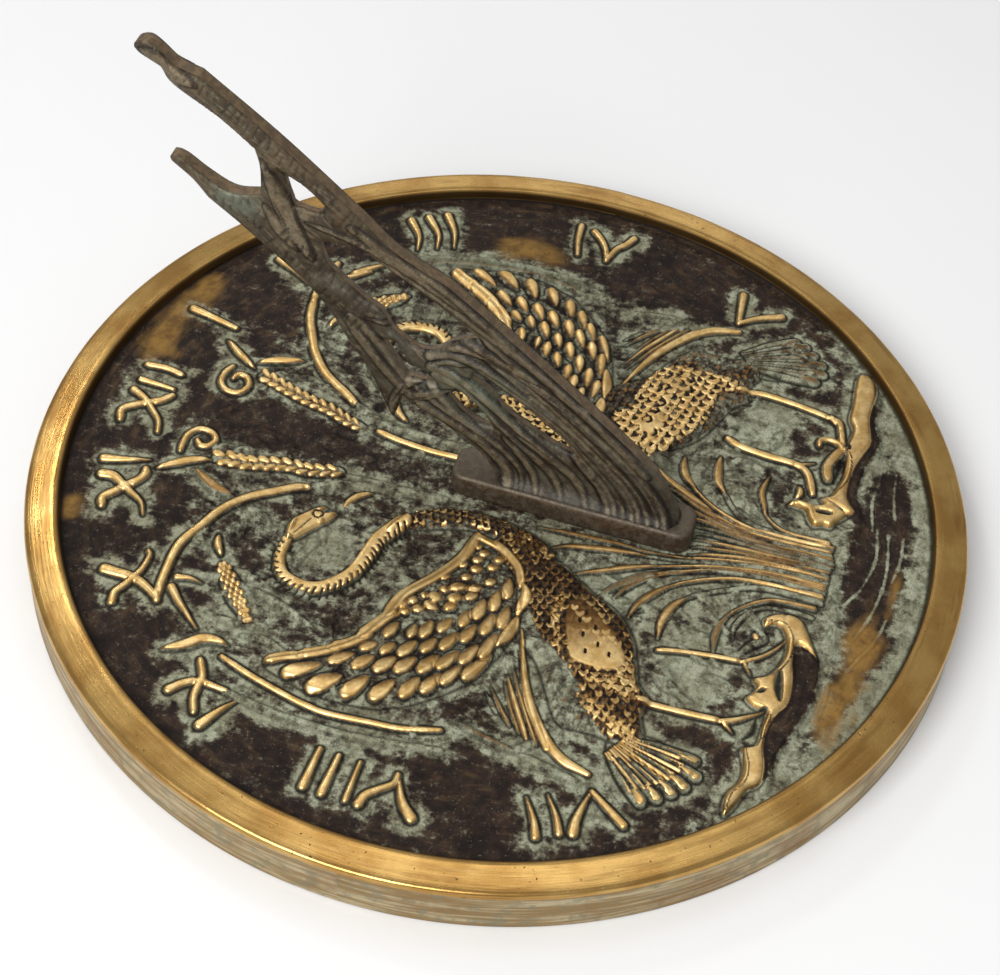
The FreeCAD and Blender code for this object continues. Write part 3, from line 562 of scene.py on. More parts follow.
AFTERNOON_LEDGE = [
    (25.5, -83.5), (28, -86.2), (32, -87.3), (36, -88), (41, -87.8), (46, -86.3), (50, -86.8), (54, -87),
    (58, -85.2), (64, -85), (70, -84.4), (75.5, -84.4), (77, -87.5), (75, -90), (70, -91.2), (60, -91.2),
    (54, -92.6), (50, -93.3), (45, -92), (40, -90.8), (34, -90.2), (29, -90.6), (26, -92.3), (24, -93.8),
    (22.5, -91.5)]
AFTERNOON_BANK = [
    (30, -88), (60, -87), (76, -84), (80, -82), (78.5, -87), (72, -92), (66, -92.8), (58, -93),
    (52, -95.5), (44, -94), (36, -93), (30, -93.5), (24, -96), (22, -94)]
AFTERNOON_KNOB = [
    (15.3, -84), (17, -82), (19.5, -80.5), (20.3, -78), (20, -75.8), (21.8, -76.3), (22.7, -78.5),
    (22.5, -82), (24, -84.8), (25.5, -83.5), (25.8, -85), (24.5, -88), (23, -91), (22, -92), (19, -89.8),
    (16.2, -88.5), (16.3, -86.5)]
# Painted highlights: thin polished strips along the ledges' upper edges, where the light catches them.
LEDGE_HIGHLIGHTS = [
    [(-80, -82), (-75, -82), (-71, -84), (-67, -84.2), (-63, -83), (-61, -82.8)],
    [(-57, -85.9), (-53, -86), (-49, -86)],
    [(-37.5, -84.5), (-32.5, -86.2), (-28, -86.7), (-23.5, -85.6), (-20.6, -83.3), (-20.6, -80.2)],
    [(27, -86), (32, -88), (36, -88.8), (41, -88.5), (46, -87.2)],
]

# Reed leaves: (points from tip to foot, width, how polished).
REED_LEAVES = [
    ([(-31.4, -44.7), (-26.7, -46), (-21.7, -49), (-17.2, -53.3), (-13.9, -58.3), (-11.1, -64.4),
      (-9.4, -70), (-8.2, -80), (-7.8, -91)], 1.9, 0.8),
    ([(-35, -53.6), (-30, -53.3), (-24.4, -54.7), (-20, -57.8), (-16, -63.3), (-13.3, -68.3),
      (-11, -73), (-9.8, -80), (-9.6, -91)], 2.1, 0.85),
    ([(-35, -68.3), (-30, -67.5), (-25.6, -67.8), (-21, -69.4), (-17.2, -72.8), (-14.4, -76.7),
      (-13, -80.6), (-12.3, -90)], 1.6, 0.7),
    ([(-29, -72), (-25, -71.5), (-20, -73.5), (-16, -77.5), (-14.8, -83), (-15, -90)], 1.3, 0.35),
    ([(-26.5, -39.5), (-20, -43.3), (-16, -47.5), (-12.8, -53), (-9.4, -60.5), (-7.2, -67.5),
      (-6, -75), (-5.4, -91)], 1.9, 0.7),
    ([(-28, -35.5), (-23, -38.8), (-17.8, -44), (-14, -50), (-11, -56.5), (-8.4, -65), (-6.8, -74),
      (-6.4, -91)], 2.0, 0.6),
    ([(-22.5, -27.5), (-19.5, -33.5), (-15.5, -41), (-11.7, -50), (-8.6, -58.5), (-6, -68),
      (-4.4, -78), (-4, -91)], 1.6, 0.85),
    ([(-16, -19.5), (-13.8, -25), (-11.6, -34), (-9.8, -45), (-7.7, -55.5), (-5.2, -66), (-3.2, -78),
      (-2.7, -91)], 1.7, 0.9),
    ([(-10.4, -14), (-9.8, -22), (-8.8, -34), (-8.4, -44), (-6.4, -56), (-4, -66), (-2, -78),
      (-1.4, -91)], 1.5, 0.8),
    ([(-5.2, -54.5), (-3.6, -62), (-1.6, -72), (-0.4, -91)], 1.4, 0.9),
    ([(-2.4, -54.5), (-1.6, -62), (-0.2, -72), (0.9, -91)], 1.4, 0.75),
    ([(0.2, -54.5), (0.4, -62), (1.1, -72), (2.1, -91)], 1.4, 0.85),
    ([(2.6, -54.5), (2.6, -62), (2.6, -74), (3.2, -91.5)], 1.4, 0.6),
    ([(5, -54), (4.6, -62), (4, -74), (4.4, -91.5)], 1.4, 0.7),
    ([(8, -49), (6.8, -56), (5.2, -68), (5.2, -78), (5.6, -91)], 1.5, 0.75),
    ([(11.5, -45), (9, -53), (6.8, -64), (6.2, -78), (6.8, -90.5)], 1.5, 0.7),
    ([(15.5, -44), (11.5, -52), (8.6, -61), (7.2, -72), (7.8, -90)], 1.6, 0.75),
    ([(22.5, -37), (18, -42.5), (14, -50), (10.4, -58), (8, -68), (7.9, -80), (8.8, -90)], 1.9, 0.8),
    ([(27.8, -45), (23.9, -45.6), (20.6, -47.2), (16.7, -51), (13.3, -55.5), (10.6, -61),
      (8.6, -68), (8.6, -80), (9.8, -90)], 2.0, 0.8),
    ([(31.7, -54.4), (27.2, -54.7), (21.7, -56), (17.8, -59), (13.9, -62), (10.8, -66.7), (9.4, -73),
      (9.8, -89)], 2.1, 0.85),
    ([(29.5, -68.8), (23.3, -68), (18.9, -69.4), (15, -71), (11.9, -74.4), (10.6, -79), (10.8, -89)],
     1.5, 0.85),
]
REED_BED = [
    (-13.5, -91), (-14.5, -80), (-18, -71), (-24, -62), (-31, -53), (-34, -45), (-30, -36), (-24, -28),
    (-17, -17), (-9, -10), (-7, -30), (-7, -54), (0, -54.5), (7, -54), (9, -44), (17, -39), (25, -35),
    (32, -45), (33, -54), (27, -60), (19, -67), (13, -75), (12, -84), (11.5, -90), (0, -92)]
RIPPLES = [
    [(-8, -97), (-2, -100), (3, -101.3), (9, -102.2), (15, -101.8), (21, -100.5)],
    [(-20, -101), (-11, -104), (-3, -105.4), (4, -105.9), (12, -105.2), (20, -103.8)],
    [(-29, -102), (-24, -104), (-20, -106), (-15, -107.6), (-9, -108.6)],
    [(4, -107.8), (12, -108.6), (20, -108)],
    [(-46, -98), (-38, -98.6), (-28, -98), (-20, -99)],
    [(20, -99.5), (30, -97.5), (40, -98), (50, -96)],
    [(26, -104.5), (34, -102.8), (42, -102)],
]
MOUNDS = [
    [(-28, -98), (-22, -93.5), (-16, -90.5), (-11, -92), (-7, -95), (-14, -97)],
    [(-10, -93.5), (-4, -91.3), (0, -91), (3, -93), (0, -95)],
    [(4, -94.5), (9, -91), (15, -90.5), (19, -93.5), (23, -96.5), (14, -96.5)],
    [(26, -95), (34, -93), (46, -93.5), (58, -93.5), (50, -96.5), (36, -97)],
    [(-58, -92), (-46, -93), (-34, -93), (-30, -95), (-42, -96.5)],
]
# Ochre stains on the low ground: (x, y, wide, tall).
OCHRE_STAINS = [
    (25, 107, 18, 8), (44, 103, 12, 6), (93, 19, 6, 12),
    (-24, -104, 19, 5), (-43, -101, 12, 4), (-1, -109, 9, 2.5), (-45, 106, 8, 4),
]
# Where the low ground is greenest: (x, y, wide, tall, how green).
GREEN_PLACES = [
    (-38, -65, 21, 13, 1.0), (43, -65, 24, 13, 1.0), (-23, -40, 12, 17, 0.95), (22, -44, 11, 13, 0.95),
    (-36, 38, 12, 12, 0.85), (-60, 2, 24, 16, 0.7), (60, 2, 24, 16, 0.6), (-60, -26, 14, 6, 0.75),
    (-80, -2, 5, 26, 0.6), (-36, 62, 14, 5, 0.5), (36, 62, 16, 6, 0.6), (0, -94, 30, 4, 0.9),
    (-62, -95, 13, 5, 0.6), (54, -98, 20, 6, 0.65), (-70, 48, 6, 12, 0.45),
]


# ================================================================ cast relief, drawn
def neck(relief, line, mirror=False):
    """A crane's neck: a fat stroke that widens to the body, notched along its outer side."""
    line = mirrored(line) if mirror else line
    relief.stroke(line, NECK_WIDTH, top=1.7, taper="neck", depth=0.2)
    side = -1.0 if mirror else 1.0
    places = list(walk(line, 1.7))
    for index, (point, way) in enumerate(places):
        half = 0.5 * NECK_WIDTH * float(TAPERS["neck"](index / len(places)))
        outward = side * np.array([way[1], -way[0]])
        tip = point + (half + 1.3) * outward - 0.9 * way
        root = point + (0.15 + 0.3 * (index % 2)) * half * outward + 0.6 * way
        relief.cut([tip, root], 0.85, 0.55, "club")


def crane_head(relief, mirror=False):
    """A crane's head with a ring round its eye, the line of its mouth and the beak."""
    turn = mirrored if mirror else list
    relief.patch(turn(HEAD), 1.5, 1.6, polish=1.0)
    side = -1.0 if mirror else 1.0
    ring = [(side * (-26.4 + 1.35 * math.cos(t)), 42.6 + 1.35 * math.sin(t))
            for t in np.linspace(0.0, 2.0 * math.pi, 13)]
    relief.cut(ring, 0.5, 0.35)
    relief.cut(turn([(-35, 46.2), (-31.5, 44.8), (-28.4, 43.6)]), 0.35, 0.25, "leaf", soot=0.5)
    relief.stroke(turn(BEAK), 2.1, top=0.9, taper="leaf", polish=0.9)


def wing(relief, mirror=False):
    """A raised wing: a domed field, its feathers in rows, and its polished edges."""
    turn = mirrored if mirror else list
    relief.patch(turn(WING), 1.3, 7.0, brown=0.2)
    relief.scales(turn([(-48, 9), (-40, 8), (-32, 2), (-21, -1), (-22, -6), (-29, -12), (-36, -10),
                        (-44, -3)]), (1.9, 1.3), (1 if mirror else -1, -0.9), 0.3, 0.25, 1.0, 31)
    for tip_x, tip_y, root_x, root_y, width in FEATHERS:
        feather = turn([(tip_x, tip_y), (root_x, root_y)])
        full_width = 0.88 * width + 1.2 if mirror else 0.94 * width + 1.5
        relief.stroke(feather, full_width, top=1.2, taper="feather", groove=1.0, depth=0.35,
                      fall=0.4, lean=0.5 if mirror else -0.3)
    for line, width, taper in WING_EDGE:
        relief.stroke(turn(line), width, top=1.3, taper=taper, groove=0.9, depth=0.25)


def tail(relief, tips, mirror=False, polish=1.0):
    """The tail fan: thin feathers from one root, each with a bright knob at its tip."""
    turn = mirrored if mirror else list
    fan = [(-71, -50)] + [(x, y + 0.6) for x, y in tips] + [(-65.5, -58)]
    relief.patch(turn(fan), 0.7, 4.0, brown=0.15)
    root = np.array(TAIL_ROOT)
    for index, tip in enumerate(tips):
        tip = np.array(tip, float)
        start = root + (index - 2.5) * np.array([1.1, -0.75])
        bow = 0.5 * (tip + start) + np.array([1.0, -0.6]) * (index - 2.5) * 0.25
        relief.stroke(turn([tuple(tip), tuple(bow), tuple(start)]), 3.2, 0.9, "drop", 0.0, depth=0.3)
        inner = 0.45 * tip + 0.55 * start
        relief.cut(turn([tuple(0.86 * tip + 0.14 * start), tuple(inner), tuple(start)]), 0.7, 0.35)
        relief.stroke(turn([tuple(tip), tuple(0.72 * tip + 0.28 * start)]), 2.3, 1.15, "drop", polish,
                      groove=0.3)
        gap = 0.62 * (tip - start) + start
        edge = np.array([-(tip - start)[1], (tip - start)[0]]) / np.hypot(*(tip - start))
        for side in (-0.95, 0.95):
            line = [tuple(0.8 * (tip - start) + start + side * edge), tuple(gap + side * 0.8 * edge),
                    tuple(start + 0.3 * side * edge)]
            relief.stroke(turn(line), 1.1, 1.15, "club", polish, groove=0.45, skirt=0.3)


def plumes(relief, mirror=False, polish=1.0):
    """The long plumes that hang from a crane's back."""
    for line, width, shine in PLUMES:
        line = mirrored(line) if mirror else line
        relief.stroke(line, width, 0.9 + 0.1 * width, "tail", shine * polish, groove=0.7)


def morning_crane(relief):
    """The crane on the side of the morning hours."""
    relief.patch(BODY, 2.0, 8.0)
    relief.patch(CHEST, 1.6, 4.0, brown=0.5)
    relief.scales(BODY_SCALES, (2.6, 1.9), (-0.95, -0.3), 1.0, 0.85, 1.5, 3, BREAST, brown=0.8)
    relief.scales([(-66, -36), (-58, -34), (-52, -46), (-53, -54), (-58, -52), (-64, -57), (-69, -54)],
                  (3.1, 2.1), (-0.9, -0.6), 0.9, 0.5, 1.2, 8)
    band = [(-64.5, -41.5), (-60, -38.5), (-59.5, -42), (-62, -46), (-63.2, -50), (-65.5, -55.5),
            (-68.3, -56), (-68.5, -51.5), (-66.3, -47)]
    relief.scales(band, (2.6, 1.9), (-0.9, -0.5), 1.1, 1.25, 0.5, 12)
    edge = [(-57, -54.5), (-57, -47), (-55.5, -39), (-51, -32), (-44, -27.5), (-37, -25), (-30, -26.5),
            (-33, -28.4), (-39, -28.6), (-45, -30.8), (-51, -34), (-52, -41), (-50.5, -47), (-46, -48.8),
            (-50, -52)]
    relief.scales(edge, (2.9, 1.9), (-1.0, -0.25), 1.15, 1.2, 1.0, 15)
    for x, y in ((-47, -37.5), (-44, -40), (-42, -35.5), (-46, -43.5), (-38, -33.5), (-39, -38),
                 (-35, -34.5)):
        relief.cut([(x - 0.5, y), (x + 0.5, y + 0.2)], 0.7, 0.3, soot=0.8)
    relief.scales(CHEST, (2.3, 1.6), (-0.6, -0.9), 1.0, 0.85, 1.0, 21)
    neck(relief, NECK)
    crane_head(relief)
    wing(relief)
    plumes(relief)
    tail(relief, TAIL_TIPS)
    for line, width, taper in MORNING_LEGS:
        relief.stroke(line, width, 1.0, taper, depth=0.2)


def afternoon_crane(relief):
    """The crane on the other side: the same outlines mirrored, with its own scales and legs."""
    relief.patch(mirrored(BODY), 2.0, 8.0, brown=0.4)
    relief.patch(mirrored(CHEST), 1.6, 4.0, brown=0.5)
    relief.scales(mirrored(BODY), (2.5, 1.7), (0.7, -0.7), 0.8, 0.55, 1.5, 4)
    gold = [(24, -33), (28, -27.5), (32, -23), (36.5, -22), (39, -26), (44, -26), (50, -27), (57, -29),
            (60, -34), (60.5, -42), (60, -54), (56.5, -53.5), (53, -49), (47, -48.5), (40, -47),
            (33, -42.5), (27, -38)]
    melted = [(27, -33), (33, -29), (38, -31), (44, -33.5), (50, -30), (57, -32), (58, -41), (52, -42),
              (46, -38), (40, -37), (33, -37), (29, -36)]
    relief.scales(gold, (3.7, 1.9), (-0.85, -0.5), 1.25, 1.6, 0.8, 6, melted)
    for x, y in ((30, -32.5), (32, -35), (36, -32.5), (40, -33.5), (47, -36.5), (50, -34), (53, -37.5),
                 (55, -33.5), (51, -40.5), (55, -40), (56.5, -36), (49, -32), (43.5, -34.5)):
        relief.cut([(x - 1.0, y + 0.4), (x + 0.1, y - 0.5), (x + 1.1, y + 0.2)], 0.9, 0.5)
    relief.scales(mirrored(CHEST), (2.3, 1.6), (0.6, -0.9), 1.0, 0.8, 1.0, 22)
    neck(relief, NECK, mirror=True)
    crane_head(relief, mirror=True)
    wing(relief, mirror=True)
    relief.patch(EAST_CHEST, 2.3, 1.2, polish=0.02, brown=0.5)
    relief.scales(EAST_CHEST, (2.7, 1.8), (-0.45, -0.9), 1.0, 1.5, 0.4, 23)
    plumes(relief, mirror=True, polish=0.9)
    tips = [(82.5, -64.5), (81.5, -67.5), (79, -70.5), (76, -73.5), (72.5, -74.5), (69, -73)]
    tail(relief, mirrored(tips), mirror=True, polish=0.5)
    for line, width, taper in AFTERNOON_LEGS:
        relief.stroke(line, width, 1.1, taper, depth=0.2)


def grain_ear(relief, line, wide, narrow, pitch):
    """A seed head like a braid: fat grains in two rows that point outwards and to the tip."""
    relief.stroke(line, wide * 0.8, 0.5, "even", 0.2, depth=0.2)
    places = list(walk(line, 0.62 * pitch))
    for index, (point, way) in reversed(list(enumerate(places))):
        side = 1.0 if index % 2 else -1.0
        width = wide + (narrow - wide) * index / len(places)
        out = np.array([way[1], -way[0]]) * side
        point_way = -0.88 * way + 0.48 * out
        centre = point + 0.21 * width * out
        tip = centre + 0.68 * pitch * point_way
        foot = centre - 0.68 * pitch * point_way
        relief.stroke([tuple(tip), tuple(centre + 0.15 * out), tuple(foot)], 0.46 * width, 1.3, "feather",
                      1.0, groove=0.5, depth=0.35, fall=0.35)


def dotted_ear(relief, line, width):
    """A seed head of small seeds set like bricks."""
    relief.stroke(line, width * 1.05, 0.5, "leaf", 0.1, depth=0.2)
    places = list(walk(line, 1.5))
    for index, (point, way) in enumerate(places):
        out = np.array([way[1], -way[0]])
        wide = width * (0.45 + 0.55 * math.sin(math.pi * min(1.0, (index + 2) / len(places))))
        for side in ((-1.0, 0.0, 1.0) if index % 2 else (-0.5, 0.5)):
            seed = point + side * 0.34 * wide * out
            relief.stroke([tuple(seed - 0.45 * way), tuple(seed + 0.45 * way)], 1.45, 1.25, "even", 1.0,
                          groove=0.4, skirt=0.35)


def ledges(relief):
    """The two river banks that the cranes stand on, each with a dark slope down to the water."""
    relief.patch(MORNING_BANK, 1.1, 2.5, soot=0.5, brown=1.0)
    relief.patch(AFTERNOON_BANK, 1.1, 2.5, soot=0.5, brown=1.0)
    relief.patch(MORNING_LEDGE, 1.9, 2.4, polish=0.82, groove=0.9)
    relief.patch(AFTERNOON_LEDGE, 1.9, 2.4, polish=0.76, groove=0.9)
    # Painted highlights along the ledges' upper edges.
    for line in LEDGE_HIGHLIGHTS:
        relief.stroke(line, 1.5, 0.25, "leaf", 0.95, groove=0.3, depth=0.0, soot=0.0)
    relief.cut([(-44.5, -87.8), (-40, -86.4), (-35, -85.8)], 2.9, 1.0, "leaf")
    relief.cut([(-43.8, -81.6), (-42, -83.6)], 1.9, 1.0, "leaf")
    relief.cut([(-35, -90), (-30, -89.2), (-26.5, -89)], 2.0, 0.7, "leaf", soot=0.6)
    relief.cut([(-58, -81.5), (-55, -83.3), (-51, -83.3)], 2.2, 0.6, "leaf")
    relief.stroke([(-26.6, -77.8), (-25.4, -77.2)], 1.5, 1.1, "even", 1.0)
    relief.stroke([(-33, -74.5), (-29, -77), (-26, -79.5), (-23.5, -77.5), (-22.5, -75.5)], 2.0, 0.7,
                  "leaf", 0.15)
    relief.patch(AFTERNOON_KNOB, 2.1, 1.6, polish=1.0, groove=1.0)
    relief.cut([(20.4, -84), (20.8, -87.3)], 2.3, 1.3)
    relief.stroke([(33.5, -84.2), (38, -83.2), (42, -84.2), (46, -86)], 2.8, 1.3, "even", 0.72)
    relief.cut([(33, -86), (37.5, -86.2), (42.5, -86.8)], 2.2, 0.9, "leaf")
    relief.stroke([(47, -85.6), (52, -84.3), (55.5, -83), (57, -80.5)], 1.9, 1.3, "even", 0.8)
    relief.stroke([(45.2, -79.4), (47, -79.3), (48, -81.5), (47.6, -84), (46, -85.8)], 1.5, 1.6, "even", 1.0)
    relief.stroke([(24, -77.3), (26, -78), (28.5, -77.3)], 1.6, 1.2, "leaf", 1.0)


def reeds(relief):
    """The clump of reed leaves on its bed, every second leaf duller."""
    relief.patch(REED_BED, 0.6, 6.0, soot=0.2)
    for index, (line, width, shine) in enumerate(REED_LEAVES):
        dull = 0.3 if index % 2 else 1.0
        relief.stroke(line, 0.9 * width, 0.6 + 0.5 * dull, "grow", dull * shine, groove=0.8, depth=0.4)
        tip = line[:4]
        relief.stroke(tip, width * 1.15, 1.0, "leaf", shine * 0.8, groove=0.7, depth=0.2)


TOOL_MARK_COUNT = 520
TOOL_MARK_REACH = 84.0


def tool_marks(relief):
    """Short strokes of the modeller's tool, all over the low ground between the figures."""
    random = np.random.default_rng(7)
    for _ in range(TOOL_MARK_COUNT):
        reach = TOOL_MARK_REACH * math.sqrt(random.uniform(0.02, 1.0))
        around = random.uniform(0.0, 2.0 * math.pi)
        x = reach * math.cos(around)
        y = reach * math.sin(around)
        turn = 2.6 * float(noise(np.array([x]), np.array([y]), 24.0, 17)[0]) + random.normal(0.0, 0.25)
        half = random.uniform(2.0, 5.0)
        bow = random.uniform(-1.0, 1.0)
        along = np.array([math.cos(turn), math.sin(turn)])
        side = np.array([-along[1], along[0]])
        place = np.array([x, y])
        line = [tuple(place - half * along), tuple(place + bow * side), tuple(place + half * along)]
        width = random.uniform(1.2, 3.2)
        if random.uniform() < 0.6:
            relief.stroke(line, width, 0.45, "leaf", 0.0, groove=1.3, halo=0.0, soot=0.45)
        else:
            relief.cut(line, width, 0.4, "leaf", soot=0.5)


def draw_relief(relief):
    """Everything cast on the dial's floor."""
    tool_marks(relief)
    for line in MOUNDS:
        relief.patch(line, 0.8, 2.5, soot=0.3)
    for line in RIPPLES:
        relief.stroke(line, 0.8, 0.5, "leaf", 0.0, groove=0.8, halo=0.0, soot=0.2)
    reeds(relief)
    for line, width, taper, shine in MORNING_PLANTS + AFTERNOON_PLANTS:
        relief.stroke(line, width, 0.5 + 0.35 * width, taper, shine, soot=max(0.35, shine))
    for line, wide, narrow, pitch in EARS:
        grain_ear(relief, line, wide, narrow, pitch)
    for line, width in DOTTED_EARS:
        dotted_ear(relief, line, width)
    ledges(relief)
    morning_crane(relief)
    afternoon_crane(relief)
    for line, width, taper in NUMERALS:
        relief.stroke(line, width, 1.2, taper)


# ================================================================ meshes
def make_mesh(name, points, faces, marks=None):
    """A smooth mesh from points in millimetres, with one number per point for each mark."""
    mesh = bpy.data.meshes.new(name)
    mesh.from_pydata((np.asarray(points) * MM).tolist(), [], faces)
    for label, values in (marks or {}).items():
        layer = mesh.attributes.new(label, "FLOAT", "POINT")
        layer.data.foreach_set("value", np.asarray(values, np.float32))
    mesh.shade_smooth()
    piece = bpy.data.objects.new(name, mesh)
    bpy.context.scene.collection.objects.link(piece)
    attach(piece, "root")
    return piece


def disc_points(step, count):
    """Points in rings, six more on each ring than on the last, and the triangles between."""
    points = [np.zeros((1, 2))]
    for ring in range(1, count + 1):
        angle = np.linspace(0.0, 2.0 * np.pi, 6 * ring, endpoint=False)
        points.append(ring * step * np.column_stack([np.cos(angle), np.sin(angle)]))
    faces = []
    for ring in range(1, count + 1):
        start = 1 + 3 * ring * (ring - 1)
        inner_start = 1 + 3 * (ring - 1) * (ring - 2) if ring > 1 else 0
        inner_count = max(1, 6 * (ring - 1))
        side, place = np.divmod(np.arange(6 * ring), ring)
        outer = start + side * ring + place
        beyond = start + (side * ring + place + 1) % (6 * ring)
        inner = inner_start + (side * (ring - 1) + place) % inner_count
        faces.append(np.column_stack([inner, outer, beyond]))
        both = place < ring - 1
        following = inner_start + (side * (ring - 1) + place + 1) % inner_count
        faces.append(np.column_stack([inner, beyond, following])[both])
    return np.vstack(points), np.vstack(faces)


class Shell:
    """Points and faces of one closed skin, built ring by ring."""

    def __init__(self):
        self.points = []
        self.faces = []
        self.zones = []
        self.count = 0

    def add(self, points, zone):
        """Adds points that belong to one zone of the material, and gives their numbers."""
        first = self.count
        self.points.append(np.asarray(points, float))
        self.zones.append(np.full(len(points), zone, float))
        self.count += len(points)
        return np.arange(first, self.count)

    def join(self, ring, following):
        """Quads between two rings of equal size, or triangles where the next has half as many."""
        near = np.roll(ring, -1)
        if len(ring) == len(following):
            self.faces += np.column_stack([ring, following, np.roll(following, -1), near]).tolist()
            return
        far = np.roll(following, -1)
        even, odd, last = ring[0::2], ring[1::2], near[1::2]
        self.faces += np.column_stack([even, following, odd]).tolist()
        self.faces += np.column_stack([odd, following, far]).tolist()
        self.faces += np.column_stack([odd, far, last]).tolist()

    def turn(self, ring, radius, height, count, zone, shift=None, centre=(0.0, 0.0)):
        """The next ring of a turned shape, joined to the one before it."""
        angle = np.linspace(0.0, 2.0 * np.pi, count, endpoint=False)
        rim = np.full(count, float(radius))
        level = np.full(count, float(height))
        if shift is not None:
            rim, level = shift(rim, level, angle)
        points = np.column_stack([centre[0] + rim * np.cos(angle), centre[1] + rim * np.sin(angle), level])
        following = self.add(points, zone)
        if ring is not None:
            self.join(ring, following)
        return following

    def close(self, ring, height, zone, centre=(0.0, 0.0)):
        """Ends the skin with a fan."""
        middle = self.add([[centre[0], centre[1], height]], zone)[0]
        near = np.roll(ring, -1)
        self.faces += np.column_stack([ring, np.full(len(ring), middle), near]).tolist()


FACE_ZONE, RIM_ZONE, WALL_ZONE, UNDER_ZONE = 0.0, 1.0, 2.0, 3.0
RIM_SECTION = [
    (117.72, 12.6), (117.78, 13.0), (117.8, 13.6), (117.82, 14.2), (117.86, 14.8), (118.0, 15.2),
    (118.3, 15.45), (118.8, 15.57), (CROWN_RADIUS, CROWN_HEIGHT), (120.2, 15.55), (121.0, 15.44),
    (122.0, 15.31), (123.0, 15.18), (124.0, 15.05), (125.0, 14.92), (125.8, 14.80), (126.3, 14.66),
    (126.66, 14.42), (126.9, 14.0), (PLATE_RADIUS, 13.4),
]
WALL_HEIGHTS = [12.4, 11.6, 10.6, 9.6, 8.6, 7.6, 6.6, 5.6, 4.6, 3.6, 2.6, 1.7, 1.0, 0.5]
FOOT_SECTION = [(126.8, 0.18), (126.3, 0.0), (124.0, 0.0), (121.5, 0.0), (119.7, 0.0), (119.15, 0.2),
                (FOOT_INNER, 0.8)]
HOLLOW_SECTION = [(119.0, 3.0), (119.0, 5.5), (118.95, 7.4), (118.5, 8.2), (117.5, WEB_UNDERSIDE)]
WEB_RINGS = np.linspace(114.0, 12.0, 40)
BOSS_SECTION = [(10.9, 8.4), (10.2, 7.9), (BOSS_RADIUS, 7.0), (BOSS_RADIUS, 4.0), (BOSS_RADIUS, 0.5),
                (9.6, 0.0), (7.0, 0.0), (4.5, 0.0)]


def hand_cast(radius, height, angle):
    """Slight unevenness of a hand-finished rim, always inwards and downwards."""
    around = 126.0 * angle
    wave = 0.5 + 0.5 * noise(around, height * 2.0, 23.0, 41)
    fine = 0.5 + 0.5 * noise(around, height * 3.0, 4.0, 42)
    bend = np.minimum(1.0, np.maximum(height - 0.5, 0.0) / 2.0)
    return radius - bend * (0.14 * wave + 0.05 * fine), height - bend * (0.10 * wave + 0.03 * fine)


def dial_marks(relief, x, y):
    """Where the face is green, dark or stained: numbers from 0 to 1 at every point."""
    radius = np.hypot(x, y)
    cloud = noise(x, y, 9.0, 51) + 0.6 * noise(x, y, 4.0, 52)
    near = relief.restore(relief.near)
    halo = smoothstep(5.6, 0.4, near + 1.3 * cloud)
    halo *= 1.0 - 0.2 * smoothstep(86.0, 90.0, radius) - 0.3 * smoothstep(89.0, 83.0, radius)
    shade = 0.5 + 0.5 * noise(x, y, 14.0, 53)
    field = smoothstep(91.0, 80.0, radius + 3.5 * cloud) * (0.22 + 0.34 * shade)
    north = smoothstep(9.5, 5.0, np.abs(x + 1.0)) * smoothstep(38.0, 46.0, y) * smoothstep(88.0, 80.0, y)
    green = np.maximum(halo, field)
    for place_x, place_y, wide, tall, strength in GREEN_PLACES:
        blob = np.hypot((x - place_x) / wide, (y - place_y) / tall) + 0.25 * cloud
        green = np.maximum(green, strength * smoothstep(1.25, 0.45, blob))
    fringe = smoothstep(109.0, 113.5, radius + 1.5 * cloud) * smoothstep(-60.0, -90.0, y) * 0.9
    green = np.maximum(green * (1.0 - relief.restore(relief.brown)) * (1.0 - 0.9 * north), fringe)
    deep = np.hypot((x - 13.0) / 27.0, (y + 101.0) / 7.5) + 0.2 * cloud
    green *= 1.0 - 0.85 * smoothstep(1.2, 0.7, deep)
    for line in RIPPLES:
        gap, _ = measure(smooth_path(line, 2.0), x, y)
        green = np.maximum(green, (0.9 + 0.5 * cloud) * smoothstep(0.75, 0.05, gap))
    ochre = np.zeros(len(x))
    for stain_x, stain_y, wide, tall in OCHRE_STAINS:
        blob = np.hypot((x - stain_x) / wide, (y - stain_y) / tall) + 0.35 * cloud
        ochre = np.maximum(ochre, smoothstep(1.3, 0.1, blob))
    return {"green": green, "ochre": ochre}


